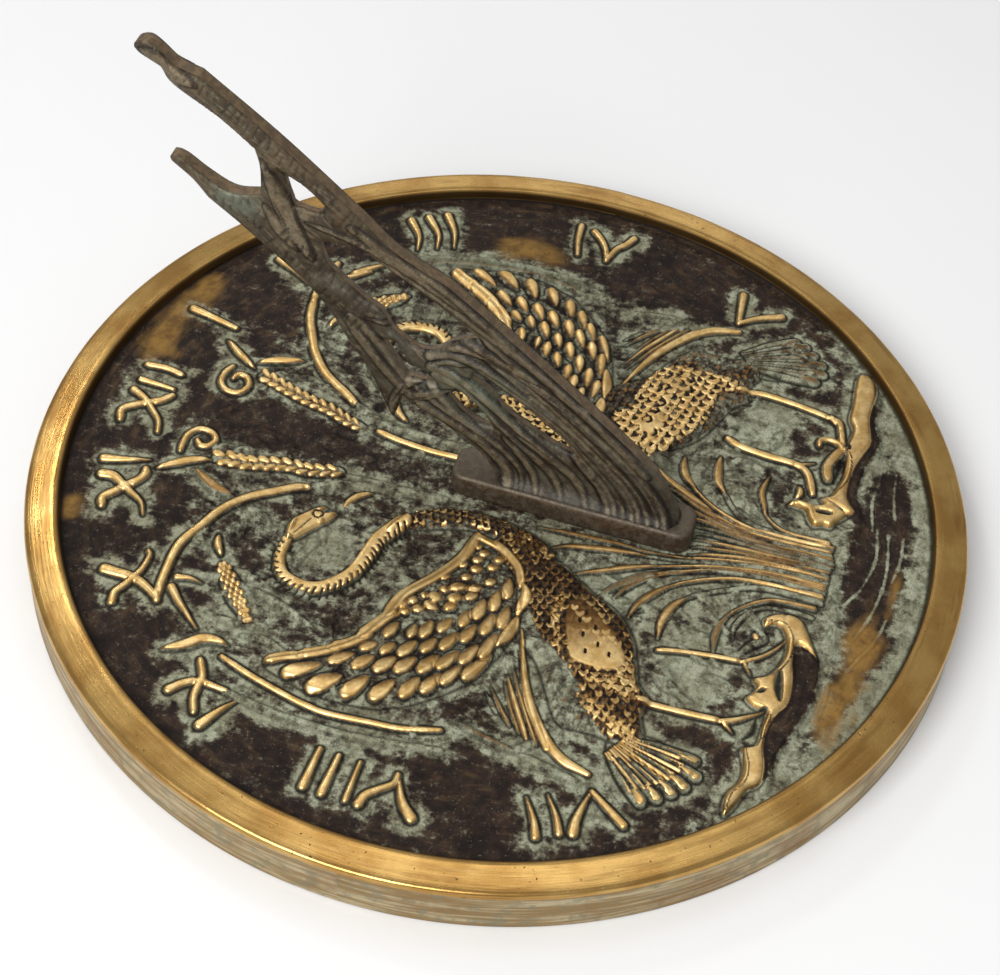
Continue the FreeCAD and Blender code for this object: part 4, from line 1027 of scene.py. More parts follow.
def make_dial():
    """The dial plate: relief face, rim, wall and hollow underside as one skin."""
    flat, triangles = disc_points(RING_STEP, RING_COUNT)
    x, y = flat[:, 0], flat[:, 1]
    relief = Relief(x, y)
    draw_relief(relief)
    radius = np.hypot(x, y)
    settle = smoothstep(117.4, 115.6, radius)
    cast = 0.16 * noise(x, y, 7.0, 61) + 0.09 * noise(x, y, 2.6, 62) + 0.05 * noise(x, y, 1.1, 63)
    tool = 0.20 * noise(x * 0.7 + y * 0.7, (y - x) * 0.25, 2.4, 64) * smoothstep(88.0, 78.0, radius)
    rise = relief.restore(relief.ground + relief.detail)
    seat = smoothstep(0.6, 0.0, np.abs(x) - BASE_HALF_WIDTH) * smoothstep(
        0.6, 0.0, np.abs(y - BASE_TOE - BASE_LENGTH / 2) - BASE_LENGTH / 2)
    rough = (cast + tool) * (1.0 - 0.9 * smoothstep(0.1, 0.5, relief.restore(relief.polish)))
    level = FLOOR + (rise + rough) * settle * (1.0 - seat) - 0.05 * seat
    dip = 0.35 * smoothstep(113.5, 116.0, radius) * smoothstep(117.6, 116.6, radius)
    level -= dip
    shell = Shell()
    shell.add(np.column_stack([x, y, level]), FACE_ZONE)
    shell.faces += triangles.tolist()
    count = 6 * RING_COUNT
    ring = np.arange(shell.count - count, shell.count)
    for rim, height in RIM_SECTION:
        ring = shell.turn(ring, rim, height, count, RIM_ZONE, hand_cast)
    for height in WALL_HEIGHTS:
        ring = shell.turn(ring, PLATE_RADIUS, height, count, WALL_ZONE, hand_cast)
    for rim, height in FOOT_SECTION:
        ring = shell.turn(ring, rim, height, count // 2, UNDER_ZONE)
    for rim, height in HOLLOW_SECTION:
        ring = shell.turn(ring, rim, height, count // 4, UNDER_ZONE)
    for rim in WEB_RINGS:
        ring = shell.turn(ring, rim, WEB_UNDERSIDE, count // 4, UNDER_ZONE, hollow_skin)
    for rim, height in BOSS_SECTION:
        ring = shell.turn(ring, rim, height, count // 8, UNDER_ZONE)
    for height in np.linspace(0.3, THREAD_DEPTH, 60):
        ring = shell.turn(ring, THREAD_RADIUS, height, count // 8, UNDER_ZONE, thread_form)
    shell.close(ring, THREAD_DEPTH, UNDER_ZONE)
    for place in SCREW_PLACES:
        add_screw_boss(shell, place)
    fill = np.zeros(shell.count - len(x))
    marks = dial_marks(relief, x, y)
    marks = {name: np.concatenate([values, fill]) for name, values in marks.items()}
    marks["polish"] = np.concatenate([relief.restore(relief.polish), fill])
    soot = relief.restore(relief.soot)
    soot = np.maximum(soot, smoothstep(116.4, 117.5, radius))
    marks["soot"] = np.concatenate([soot, fill])
    marks["zone"] = np.concatenate(shell.zones)
    return make_mesh("dial_casting", np.vstack(shell.points), shell.faces, marks)


def hollow_skin(radius, height, angle):
    """Sand-cast roughness of the underside."""
    x = radius * np.cos(angle)
    y = radius * np.sin(angle)
    return radius, height - 0.15 * (0.5 + 0.5 * noise(x, y, 8.0, 71)) * smoothstep(12.0, 20.0, radius)


def thread_form(radius, height, angle):
    """A right-hand thread cut into the pedestal's hole."""
    turn = (height / THREAD_PITCH - angle / (2.0 * np.pi)) % 1.0
    ridge = 1.0 - np.abs(2.0 * turn - 1.0)
    run_out = np.clip((THREAD_DEPTH - 0.8 - height) / 1.0, 0.0, 1.0) * np.clip(height / 0.9, 0.0, 1.0)
    return radius - 0.55 * ridge * run_out, height


def add_screw_boss(shell, place):
    """A round pad under the web for one of the gnomon's screws."""
    count = 96
    low = WEB_UNDERSIDE - SCREW_BOSS_DROP
    centre = (0.0, place)
    ring = shell.turn(None, 0.4, WEB_UNDERSIDE + 0.6, count, UNDER_ZONE, centre=centre)
    top = shell.add([[0.0, place, WEB_UNDERSIDE + 0.6]], UNDER_ZONE)[0]
    near = np.roll(ring, -1)
    shell.faces += np.column_stack([np.full(len(ring), top), ring, near]).tolist()
    for rim, height in [(SCREW_BOSS_RADIUS + 0.9, WEB_UNDERSIDE + 0.6),
                        (SCREW_BOSS_RADIUS + 0.5, WEB_UNDERSIDE - 0.1),
                        (SCREW_BOSS_RADIUS, WEB_UNDERSIDE - 0.4), (SCREW_BOSS_RADIUS, low + 0.3),
                        (SCREW_BOSS_RADIUS - 0.3, low), (4.0, low), (2.0, low)]:
        ring = shell.turn(ring, rim, height, count, UNDER_ZONE, centre=centre)
    shell.close(ring, low, UNDER_ZONE, centre)


# ================================================================ gnomon
# Side view of the blade: (distance along the noon line, height).
BLADE_EDGE = [
    [(-50.5, 15.5), (-50, 19), (-48, 24), (-41.5, 35.5)],
    [(-41.5, 35.5), (-29.5, 46.5), (0.8, 71.2), (16.8, 83.2)],
    [(16.8, 83.2), (30.8, 90.2), (39.8, 98.2)],
    [(39.8, 98.2), (60.8, 115.7), (80.5, 130.2)],
    [(80.5, 130.2), (86, 131.7), (90.5, 135.5), (93.3, 137), (96.4, 135.5), (95.5, 133.3), (90, 130.5)],
    [(90, 130.5), (87, 126), (76, 119.5), (67, 112.5)],
    [(67, 112.5), (65.8, 107), (65.8, 98)],
    [(65.8, 98), (73.5, 96.4), (80.5, 99.4), (86, 103), (88.8, 103.6), (89.3, 102.2), (84, 97.9), (80, 93)],
    [(80, 93), (70, 85.5), (55, 73), (48, 65)],
    [(48, 65), (43, 56), (37, 46), (30.5, 31)],
    [(30.5, 31), (29, 36), (28.4, 41)],
    [(28.4, 41), (25, 38.6), (13, 32.2), (7, 28.2), (1.5, 21), (1.0, 15.5)],
    [(1.0, 15.5), (-51, 15.5)],
]
BLADE_HOLES = [
    [[(60, 106.5), (54.8, 104), (49.5, 99.4)], [(49.5, 99.4), (51, 96.4), (57.6, 97)],
     [(57.6, 97), (60, 106.5)]],
    [[(8, 68), (18, 74.8), (25, 79), (35, 84.6), (41, 88), (51, 87)],
     [(51, 87), (49, 80.5), (46.5, 77.6), (38.5, 71), (34.5, 68.8), (31.5, 63.2)],
     [(31.5, 63.2), (25, 59.2), (20, 59.6), (15, 64.5), (8, 68)]],
    [[(30.5, 59), (34, 58.5)], [(34, 58.5), (31, 53.5), (27, 47.5)], [(27, 47.5), (19, 47.8)],
     [(19, 47.8), (22.5, 51), (27, 52), (28, 55), (30.5, 59)]],
    [[(-20, 34.6), (-16, 39.6), (-10, 44.2), (-4, 48.6), (2, 51.8), (9, 55.6)], [(9, 55.6), (9.5, 53)],
     [(9.5, 53), (3.5, 48.6), (0, 44.2), (-6, 40.6), (-13, 36.6), (-20, 34.6)]],
    [[(3, 36.6), (7, 43), (13, 47.6)], [(13, 47.6), (15.8, 45)],
     [(15.8, 45), (12, 40.2), (8, 37.6), (3, 36.6)]],
]
# The grid that the blade's faces are cut from: its limits and the distance between its points.
BLADE_ALONG = (-53.0, 99.0)
BLADE_UP = (14.0, 142.5)
BLADE_STEP = 0.42
BLADE_ZONE, BASE_ZONE = 0.0, 1.0
STYLE_ANGLE = math.radians(38.0)
# Half the blade's thickness on its faces and at its flat edge, and how far the edge rounds off.
BLADE_HALF = 2.35
BLADE_EDGE_HALF = 1.75
EDGE_ROUND = 1.5
# Cattail heads: foot, tip, width, extra half thickness.
CATTAIL_HEADS = [
    ((38.0, 92.0), (84.0, 128.5), 9.5, 0.9),
    ((37.0, 64.0), (62.5, 87.5), 11.5, 1.0),
    ((64.0, 89.5), (80.5, 97.5), 8.0, 0.6),
]
# Flutes run between these two guides, from the base up to the right.
FLUTE_HIGH = [(-48, 18), (-46, 23), (-40.5, 31), (-31.5, 40), (-19, 50), (-4.5, 61), (8, 70.5), (19, 78)]
FLUTE_LOW = [(-30, 18), (-28, 22.5), (-25, 27), (-21, 31.5), (-16, 37.8), (-8, 44.5), (0, 50.8), (8, 55)]
FLUTE_COUNT = 8
# (points, width, height, taper)
BLADE_STALKS = [
    ([(-39.5, 34.5), (-26, 47.5), (4, 71.3), (18, 82), (32, 88.8), (42, 95.5)], 2.6, 0.8, "even"),
    ([(-24, 51.5), (-6, 63), (10, 73), (24, 81), (38, 88.3), (46, 92)], 2.2, 0.6, "leaf"),
    ([(12, 76), (24, 83.5), (34, 88), (44, 91.5), (54, 93)], 2.2, 0.7, "leaf"),
    ([(21, 60.5), (13, 63.5), (4, 62.5), (-6, 57.5), (-16, 51), (-26, 43)], 2.4, 1.0, "drop"),
    ([(21, 58), (15, 60.5), (7, 59), (-3, 53.8), (-14, 46.5), (-25, 37.5)], 2.4, 1.1, "drop"),
    ([(20, 55.5), (16, 57.8), (11, 57.8)], 1.8, 0.9, "leaf"),
    ([(20, 54.5), (14, 53), (8, 49.5), (3, 45.5), (-4, 39.5), (-12, 34), (-19, 29)], 3.2, 1.0, "drop"),
    ([(19, 52), (13, 49.8), (7, 45), (1, 39.5), (-5, 34), (-12, 28)], 2.6, 1.0, "drop"),
    ([(22, 50), (18, 44.5), (12, 38.2), (4, 33.5), (-5, 27.5)], 2.6, 0.9, "drop"),
    ([(-26, 18), (-21, 26), (-13, 32), (-4, 37)], 2.8, 0.4, "leaf"),
    ([(-19, 18), (-15, 25), (-8, 31.5), (-2, 36)], 2.4, 0.4, "leaf"),
    ([(-11.5, 18), (-9.5, 24), (-5, 30.5), (0, 35.5)], 2.4, 0.7, "leaf"),
    ([(-7.5, 18), (-5.5, 25), (0.5, 31), (8, 35.4), (18, 41), (27, 47)], 2.4, 0.8, "leaf"),
    ([(0.5, 18), (1.5, 22), (7, 29), (14, 33.6), (24, 39)], 2.2, 0.9, "even"),
    ([(-3.6, 18), (-1.5, 24.5), (5, 30.5), (14, 35.5), (24, 40.5), (32, 48), (38, 56), (43, 64)],
     3.0, 0.9, "even"),
    ([(-12, 57), (-2, 61), (8, 65), (18, 66.5), (30, 65), (38, 66)], 2.4, 0.8, "leaf"),
    ([(14, 47), (20, 44), (26, 40.5), (29.5, 33)], 3.0, 0.7, "leaf"),
    ([(22, 48.5), (27, 45), (30.2, 38), (30.6, 32)], 2.6, 0.8, "leaf"),
    ([(26, 46), (31, 53), (37, 60.5), (42, 66)], 3.0, 0.7, "even"),
    ([(52, 82), (57, 90), (61, 99), (65, 110)], 4.6, 0.9, "leaf"),
    ([(56, 84), (61, 90), (65, 95.5)], 3.0, 0.7, "leaf"),
    ([(81, 128), (86, 129.8), (91, 133.2), (94.8, 134.6)], 3.6, 0.7, "leaf"),
]


def run_path(runs):
    """One closed path from smooth runs that meet in corners."""
    return np.vstack([smooth_path(run, 1.0)[:-1] for run in runs])


def blade_depth(y, z):
    """Distances inside the blade's outline and outside its openings, negative past them."""
    edge = run_path(BLADE_EDGE)
    gap, _ = measure(edge, y, z, closed=True)
    outer = np.where(inside(edge, y, z), gap, -gap)
    opening = np.full(len(y), 99.0)
    for runs in BLADE_HOLES:
        hole = run_path(runs)
        gap, _ = measure(hole, y, z, closed=True)
        opening = np.minimum(opening, np.where(inside(hole, y, z), -gap, gap))
    return outer, opening


def draw_blade(relief):
    """The flutes, stalks, leaves and cattail heads on the blade's two faces."""
    high = np.array(FLUTE_HIGH, float)
    low = np.array(FLUTE_LOW, float)
    random = np.random.default_rng(19)
    for index in range(FLUTE_COUNT):
        share = (index + 0.3 + random.uniform(-0.15, 0.15)) / FLUTE_COUNT
        line = high * (1.0 - share) + low * share
        end = len(line) - (index * 2) % 3
        width = random.uniform(1.2, 1.9)
        relief.stroke(line[:end], width, random.uniform(0.8, 1.2), "even", 1.0, skirt=0.9, groove=1.6,
                      depth=0.7)
    for line, width, top, taper in BLADE_STALKS:
        relief.stroke(line, width, top, taper, 1.0, groove=0.8, depth=0.3)
        middle = [(y + 0.25 * width, z - 0.25 * width) for y, z in line[1:-1]]
        if len(middle) > 1:
            relief.cut(middle, 0.4, 0.2, "leaf", soot=0.5)
    for foot, tip, width, _ in CATTAIL_HEADS:
        places = walk([foot, tip], 2.3)
        for index, (point, way) in enumerate(places):
            across = np.array([-way[1], way[0]])
            for side in (-1.0, 1.0):
                lean = random.uniform(-1.0, 1.0) + 1.1 * side
                start = point + side * random.uniform(0.0, 0.2) * width * across
                end = point + side * random.uniform(0.26, 0.5) * width * across + lean * way
                relief.cut([tuple(start), tuple(end)], random.uniform(0.5, 1.1), random.uniform(0.08, 0.28),
                           "leaf", soot=0.5)


def make_blade(shell):
    """The blade as two modelled faces with a flat edge of even width all round."""
    y_axis = np.arange(*BLADE_ALONG, BLADE_STEP)
    z_axis = np.arange(*BLADE_UP, BLADE_STEP)
    grid_y, grid_z = np.meshgrid(y_axis, z_axis)
    outer, opening = blade_depth(grid_y.ravel(), grid_z.ravel())
    depth = np.minimum(outer, opening).reshape(grid_y.shape)
    slope_z, slope_y = np.gradient(depth, BLADE_STEP)
    steep = np.maximum(slope_y ** 2 + slope_z ** 2, 0.3)
    keep = depth > -0.3 * BLADE_STEP
    cell = keep[:-1, :-1] & keep[1:, :-1] & keep[:-1, 1:] & keep[1:, 1:]
    around = np.zeros(depth.shape, int)
    for down in (0, 1):
        for along in (0, 1):
            around[down:down + cell.shape[0], along:along + cell.shape[1]] += cell
    used = around > 0
    border = used & (around < 4)
    move = np.where(border, depth, 0.0)
    y = (grid_y - move * slope_y / steep)[used]
    z = (grid_z - move * slope_z / steep)[used]
    into = np.where(border, 0.0, np.maximum(depth, 0.0))[used]
    relief = Relief(y, z)
    draw_blade(relief)
    rise = relief.restore(relief.detail)
    half = np.full(len(y), BLADE_HALF)
    round_off = np.full(len(y), EDGE_ROUND)
    for foot, tip, width, extra in CATTAIL_HEADS:
        gap, share = measure(np.array([foot, tip], float), y, z)
        full = smoothstep(0.55 * width, 0.15 * width, gap) * smoothstep(0.0, 0.15, share)
        half += extra * full
        round_off += 1.2 * full
    beside = smoothstep(5.0, 1.5, opening.reshape(depth.shape)[used])
    round_off += 2.0 * beside
    edge_half = BLADE_EDGE_HALF - 1.1 * beside
    share = np.clip(into / round_off, 0.0, 1.0)
    above = np.maximum(z - FLOOR - BASE_HEIGHT, 0.0)
    full = half + 0.9 * (rise - 0.4) * smoothstep(0.0, 5.0, above)
    thick = edge_half + (full - edge_half) * np.sqrt(1.0 - (1.0 - share) ** 2)
    thick += (0.10 * noise(y, z, 3.0, 81) + 0.06 * noise(y, z, 1.3, 82)) * smoothstep(0.3, 1.5, into)
    thick += 2.9 * np.exp(-above / 2.2) * smoothstep(0.0, 3.0, into)
    thick = np.maximum(thick, 0.6)
    # Darker just above the base, where the blade meets it.
    soot = np.maximum(relief.restore(relief.soot), 0.55 * smoothstep(5.0, 0.5, above))
    leafy = smoothstep(20.0, 5.0, np.hypot(y - 9.0, 1.4 * (z - 50.0)))
    leafy = np.maximum(leafy, 0.8 * smoothstep(10.0, 3.0, np.hypot(y - 73.0, 1.2 * (z - 95.0))))
    marks = {"polish": relief.restore(relief.polish), "soot": soot, "green": leafy}
    front = shell.add(np.column_stack([-thick, y, z]), BLADE_ZONE)
    back = shell.add(np.column_stack([thick, y, z]), BLADE_ZONE)
    number = np.full(depth.shape, -1)
    number[used] = np.arange(len(y))
    rows, columns = np.nonzero(cell)
    corners = np.column_stack([number[rows, columns], number[rows, columns + 1],
                               number[rows + 1, columns + 1], number[rows + 1, columns]])
    shell.faces += front[corners[:, ::-1]].tolist()
    shell.faces += back[corners].tolist()
    rim = np.nonzero(border[used])[0]
    edge = add_edge(shell, cell, number, rim, (back, front), thick, y, z)
    flat = np.zeros(edge)
    marks["edge"] = np.zeros(len(y))
    marks = {name: np.concatenate([values, values, flat]) for name, values in marks.items()}
    marks["edge"][2 * len(y):] = 1.0
    return marks


def add_edge(shell, cell, number, rim, faces, thick, y, z):
    """The blade's flat edge: strips of quads from one face to the other along the outline."""
    levels = [faces[0]]
    for share in (0.8, 0.3, -0.3, -0.8):
        points = np.column_stack([share * thick, y, z])[rim]
        level = np.full(len(y), -1)
        level[rim] = shell.add(points, BLADE_ZONE)
        levels.append(level)
    levels.append(faces[1])
    padded = np.pad(cell, 1)
    sides = [((-1, 0), (0, 0), (0, 1)), ((0, 1), (0, 1), (1, 1)),
             ((1, 0), (1, 1), (1, 0)), ((0, -1), (1, 0), (0, 0))]
    for (down, along), first, second in sides:
        beyond = padded[1 + down:1 + down + cell.shape[0], 1 + along:1 + along + cell.shape[1]]
        rows, columns = np.nonzero(cell & ~beyond)
        start = number[rows + first[0], columns + first[1]]
        end = number[rows + second[0], columns + second[1]]
        for upper, lower in zip(levels, levels[1:]):
            shell.faces += np.column_stack([upper[end], upper[start], lower[start], lower[end]]).tolist()
    return 4 * len(rim)


def make_base(shell):
    """The base block: rounded corners, a round top edge and slightly uneven faces."""
    sections = [(0.5, 0.0), (0.12, 0.15), (0.0, 0.6), (0.0, 1.6), (0.03, 2.8), (0.05, 4.0), (0.05, 5.2),
                (0.08, 5.9), (0.25, 6.45), (0.6, 6.85), (1.1, 7.05), (1.8, 7.08), (2.8, 7.0), (3.8, 6.95),
                (4.8, 6.95), (5.6, 6.95)]
    ring = None
    first = len(shell.faces)
    middle = BASE_TOE + BASE_LENGTH / 2
    for inset, height in sections:
        outline = base_outline(inset)
        around = np.arange(len(outline)) * 0.6
        dent = 0.10 * (0.5 + 0.5 * noise(around, np.full(len(outline), height), 5.0, 91))
        scale = 1.0 - dent / np.maximum(np.abs(outline[:, 0]), 2.0)
        points = np.column_stack([outline[:, 0] * np.where(inset < 1.0, scale, 1.0),
                                  outline[:, 1] + middle,
                                  FLOOR + height - dent * (inset > 0.7)])
        following = shell.add(points, BASE_ZONE)
        if ring is None:
            bottom = following
        else:
            shell.join(ring, following)
        ring = following
    bridge(shell, bottom, True)
    bridge(shell, ring, False)
    shell.faces[first:] = [face[::-1] for face in shell.faces[first:]]


def base_outline(inset):
    """The base block's outline, anticlockwise from the middle of its east side."""
    straight_count = 40
    corner_count = 12
    half_x = BASE_HALF_WIDTH - inset
    half_y = BASE_LENGTH / 2 - inset
    corner = max(4.0 - inset, 0.3)
    quarter = [(half_x, share * (half_y - corner)) for share in np.linspace(0.0, 1.0, straight_count)]
    quarter += [(half_x - corner + corner * math.cos(t), half_y - corner + corner * math.sin(t))
                for t in np.linspace(0.0, 0.5 * math.pi, corner_count)[1:]]
    quarter += [(share * (half_x - corner), half_y) for share in np.linspace(1.0, 0.0, 6)[1:-1]]
    quarter = np.array(quarter)
    half = np.vstack([quarter, [[0.0, half_y]], (quarter * [-1, 1])[::-1][:-1]])
    return np.vstack([half, [[-half_x, 0.0]], -half[1:]])


def bridge(shell, ring, up):
    """Closes a ring that mirrors itself across its long axis with strips between its two sides."""
    count = len(ring)
    quarter = count // 4
    for index in range(-quarter, quarter):
        here, following = ring[index % count], ring[(index + 1) % count]
        partner = ring[(count // 2 - index) % count]
        next_partner = ring[(count // 2 - index - 1) % count]
        corners = [here, following, next_partner, partner]
        unique = list(dict.fromkeys(corners))
        if len(unique) > 2:
            shell.faces.append([int(c) for c in (unique if up else unique[::-1])])


def make_gnomon():
    """The gnomon casting: a base block with the reeds and cattails rising from it."""
    shell = Shell()
    marks = make_blade(shell)
    blade_count = shell.count
    make_base(shell)
    extra = np.zeros(shell.count - blade_count)
    marks = {name: np.concatenate([values, extra]) for name, values in marks.items()}
    marks["zone"] = np.concatenate(shell.zones)
    return make_mesh("gnomon_casting", np.vstack(shell.points), shell.faces, marks)


# ================================================================ materials
def srgb(red, green, blue):
    """A colour given as it looks on screen, 0 to 255, as the shader's linear numbers."""
    return tuple(((c / 255.0 + 0.055) / 1.055) ** 2.4 for c in (red, green, blue)) + (1.0,)


class Finish:
    """A procedural material and short ways to add nodes to it."""

    def __init__(self, name):
        self.material = bpy.data.materials.new(name)
        self.material.use_nodes = True
        self.tree = self.material.node_tree
        self.shader = self.tree.nodes["Principled BSDF"]
        self.place = self.node("ShaderNodeTexCoord").outputs["Object"]

    def node(self, kind, **settings):
        """A new node with its settings."""
        made = self.tree.nodes.new(kind)
        for key, value in settings.items():
            setattr(made, key, value)
        return made

    def plug(self, socket, value):
        """Links another node's output to a socket, or sets the socket to a plain value."""
        if isinstance(value, bpy.types.NodeSocket):
            self.tree.links.new(value, socket)
        else:
            socket.default_value = value

    def noise(self, size, detail=4.0, rough=0.6, stretch=(1.0, 1.0, 1.0), place=None, shift=0.0):
        """Fractal noise, 0 to 1, whose main bumps are about size millimetres."""
        place = self.place if place is None else place
        mapping = self.node("ShaderNodeMapping")
        self.plug(mapping.inputs["Vector"], place)
        mapping.inputs["Scale"].default_value = stretch
        mapping.inputs["Location"].default_value = (shift, 0.7 * shift, 0.3 * shift)
        texture = self.node("ShaderNodeTexNoise")
        self.plug(texture.inputs["Vector"], mapping.outputs["Vector"])
        texture.inputs["Scale"].default_value = 1.0 / (size * MM)
        texture.inputs["Detail"].default_value = detail
        texture.inputs["Roughness"].default_value = rough
        return texture.outputs["Fac"]

    def mark(self, name):
        """One of the marks that the mesh carries at its points."""
        return self.node("ShaderNodeAttribute", attribute_name=name).outputs["Fac"]

    def math(self, operation, first, second=0.0):
        """A sum on one or two values, each a number or another node's output."""
        made = self.node("ShaderNodeMath", operation=operation)
        for socket, value in zip(made.inputs, (first, second)):
            self.plug(socket, value)
        return made.outputs["Value"]

    def add(self, first, second):
        return self.math("ADD", first, second)

    def times(self, first, second):
        return self.math("MULTIPLY", first, second)

    def fade(self, value, low, high):
        """0 below low, 1 above high, smooth between."""
        made = self.node("ShaderNodeMapRange", interpolation_type="SMOOTHSTEP")
        self.plug(made.inputs["Value"], value)
        made.inputs["From Min"].default_value = low
        made.inputs["From Max"].default_value = high
        if low > high:
            made.inputs["From Min"].default_value = high
            made.inputs["From Max"].default_value = low
            made.inputs["To Min"].default_value = 1.0
            made.inputs["To Max"].default_value = 0.0
        return made.outputs["Result"]

    def mix(self, share, first, second):
        """A colour between two colours."""
        made = self.node("ShaderNodeMix", data_type="RGBA")
        self.plug(made.inputs[0], share)
        self.plug(made.inputs[6], first)
        self.plug(made.inputs[7], second)
        return made.outputs[2]

    def blend(self, share, first, second):
        """A number between two numbers."""
        made = self.node("ShaderNodeMix", data_type="FLOAT")
        self.plug(made.inputs[0], share)
        self.plug(made.inputs[2], first)
        self.plug(made.inputs[3], second)
        return made.outputs[0]

    def bump(self, height, distance, strength):
        """A surface direction tilted by a height from 0 to 1 that stands for distance millimetres."""
        made = self.node("ShaderNodeBump")
        made.inputs["Distance"].default_value = distance * MM
        made.inputs["Strength"].default_value = strength
        self.plug(made.inputs["Height"], height)
        return made.outputs["Normal"]

    def finish(self, colour, metal, rough, normal):
        """Plugs the four results into the shader and hands back the material."""
        self.plug(self.shader.inputs["Base Color"], colour)
        self.plug(self.shader.inputs["Metallic"], metal)
        self.plug(self.shader.inputs["Roughness"], rough)
        self.plug(self.shader.inputs["Normal"], normal)
        return self.material


GOLD = srgb(250, 217, 152)
GOLD_DEEP = srgb(210, 166, 96)
GOLD_BROWN = srgb(126, 88, 46)
SOOT = srgb(17, 13, 10)
PLUM = srgb(33, 26, 23)
PLUM_WARM = srgb(58, 43, 34)
VERDIGRIS = srgb(120, 121, 99)
VERDIGRIS_PALE = srgb(166, 169, 145)
GREY_CRUST = srgb(76, 69, 57)
OCHRE = srgb(152, 116, 58)


def turned_place(finish):
    """Coordinates that run round the plate for brushed streaks, and the radius in millimetres."""
    split = finish.node("ShaderNodeSeparateXYZ")
    finish.plug(split.inputs[0], finish.place)
    angle = finish.math("ARCTAN2", split.outputs[1], split.outputs[0])
    squares = finish.add(finish.times(split.outputs[0], split.outputs[0]),
                         finish.times(split.outputs[1], split.outputs[1]))
    radius = finish.math("SQRT", squares)
    arc = finish.times(angle, PLATE_RADIUS * MM)
    join = finish.node("ShaderNodeCombineXYZ")
    for socket, value in zip(join.inputs, (radius, arc, split.outputs[2])):
        finish.plug(socket, value)
    return join.outputs[0], finish.times(radius, 1.0 / MM)


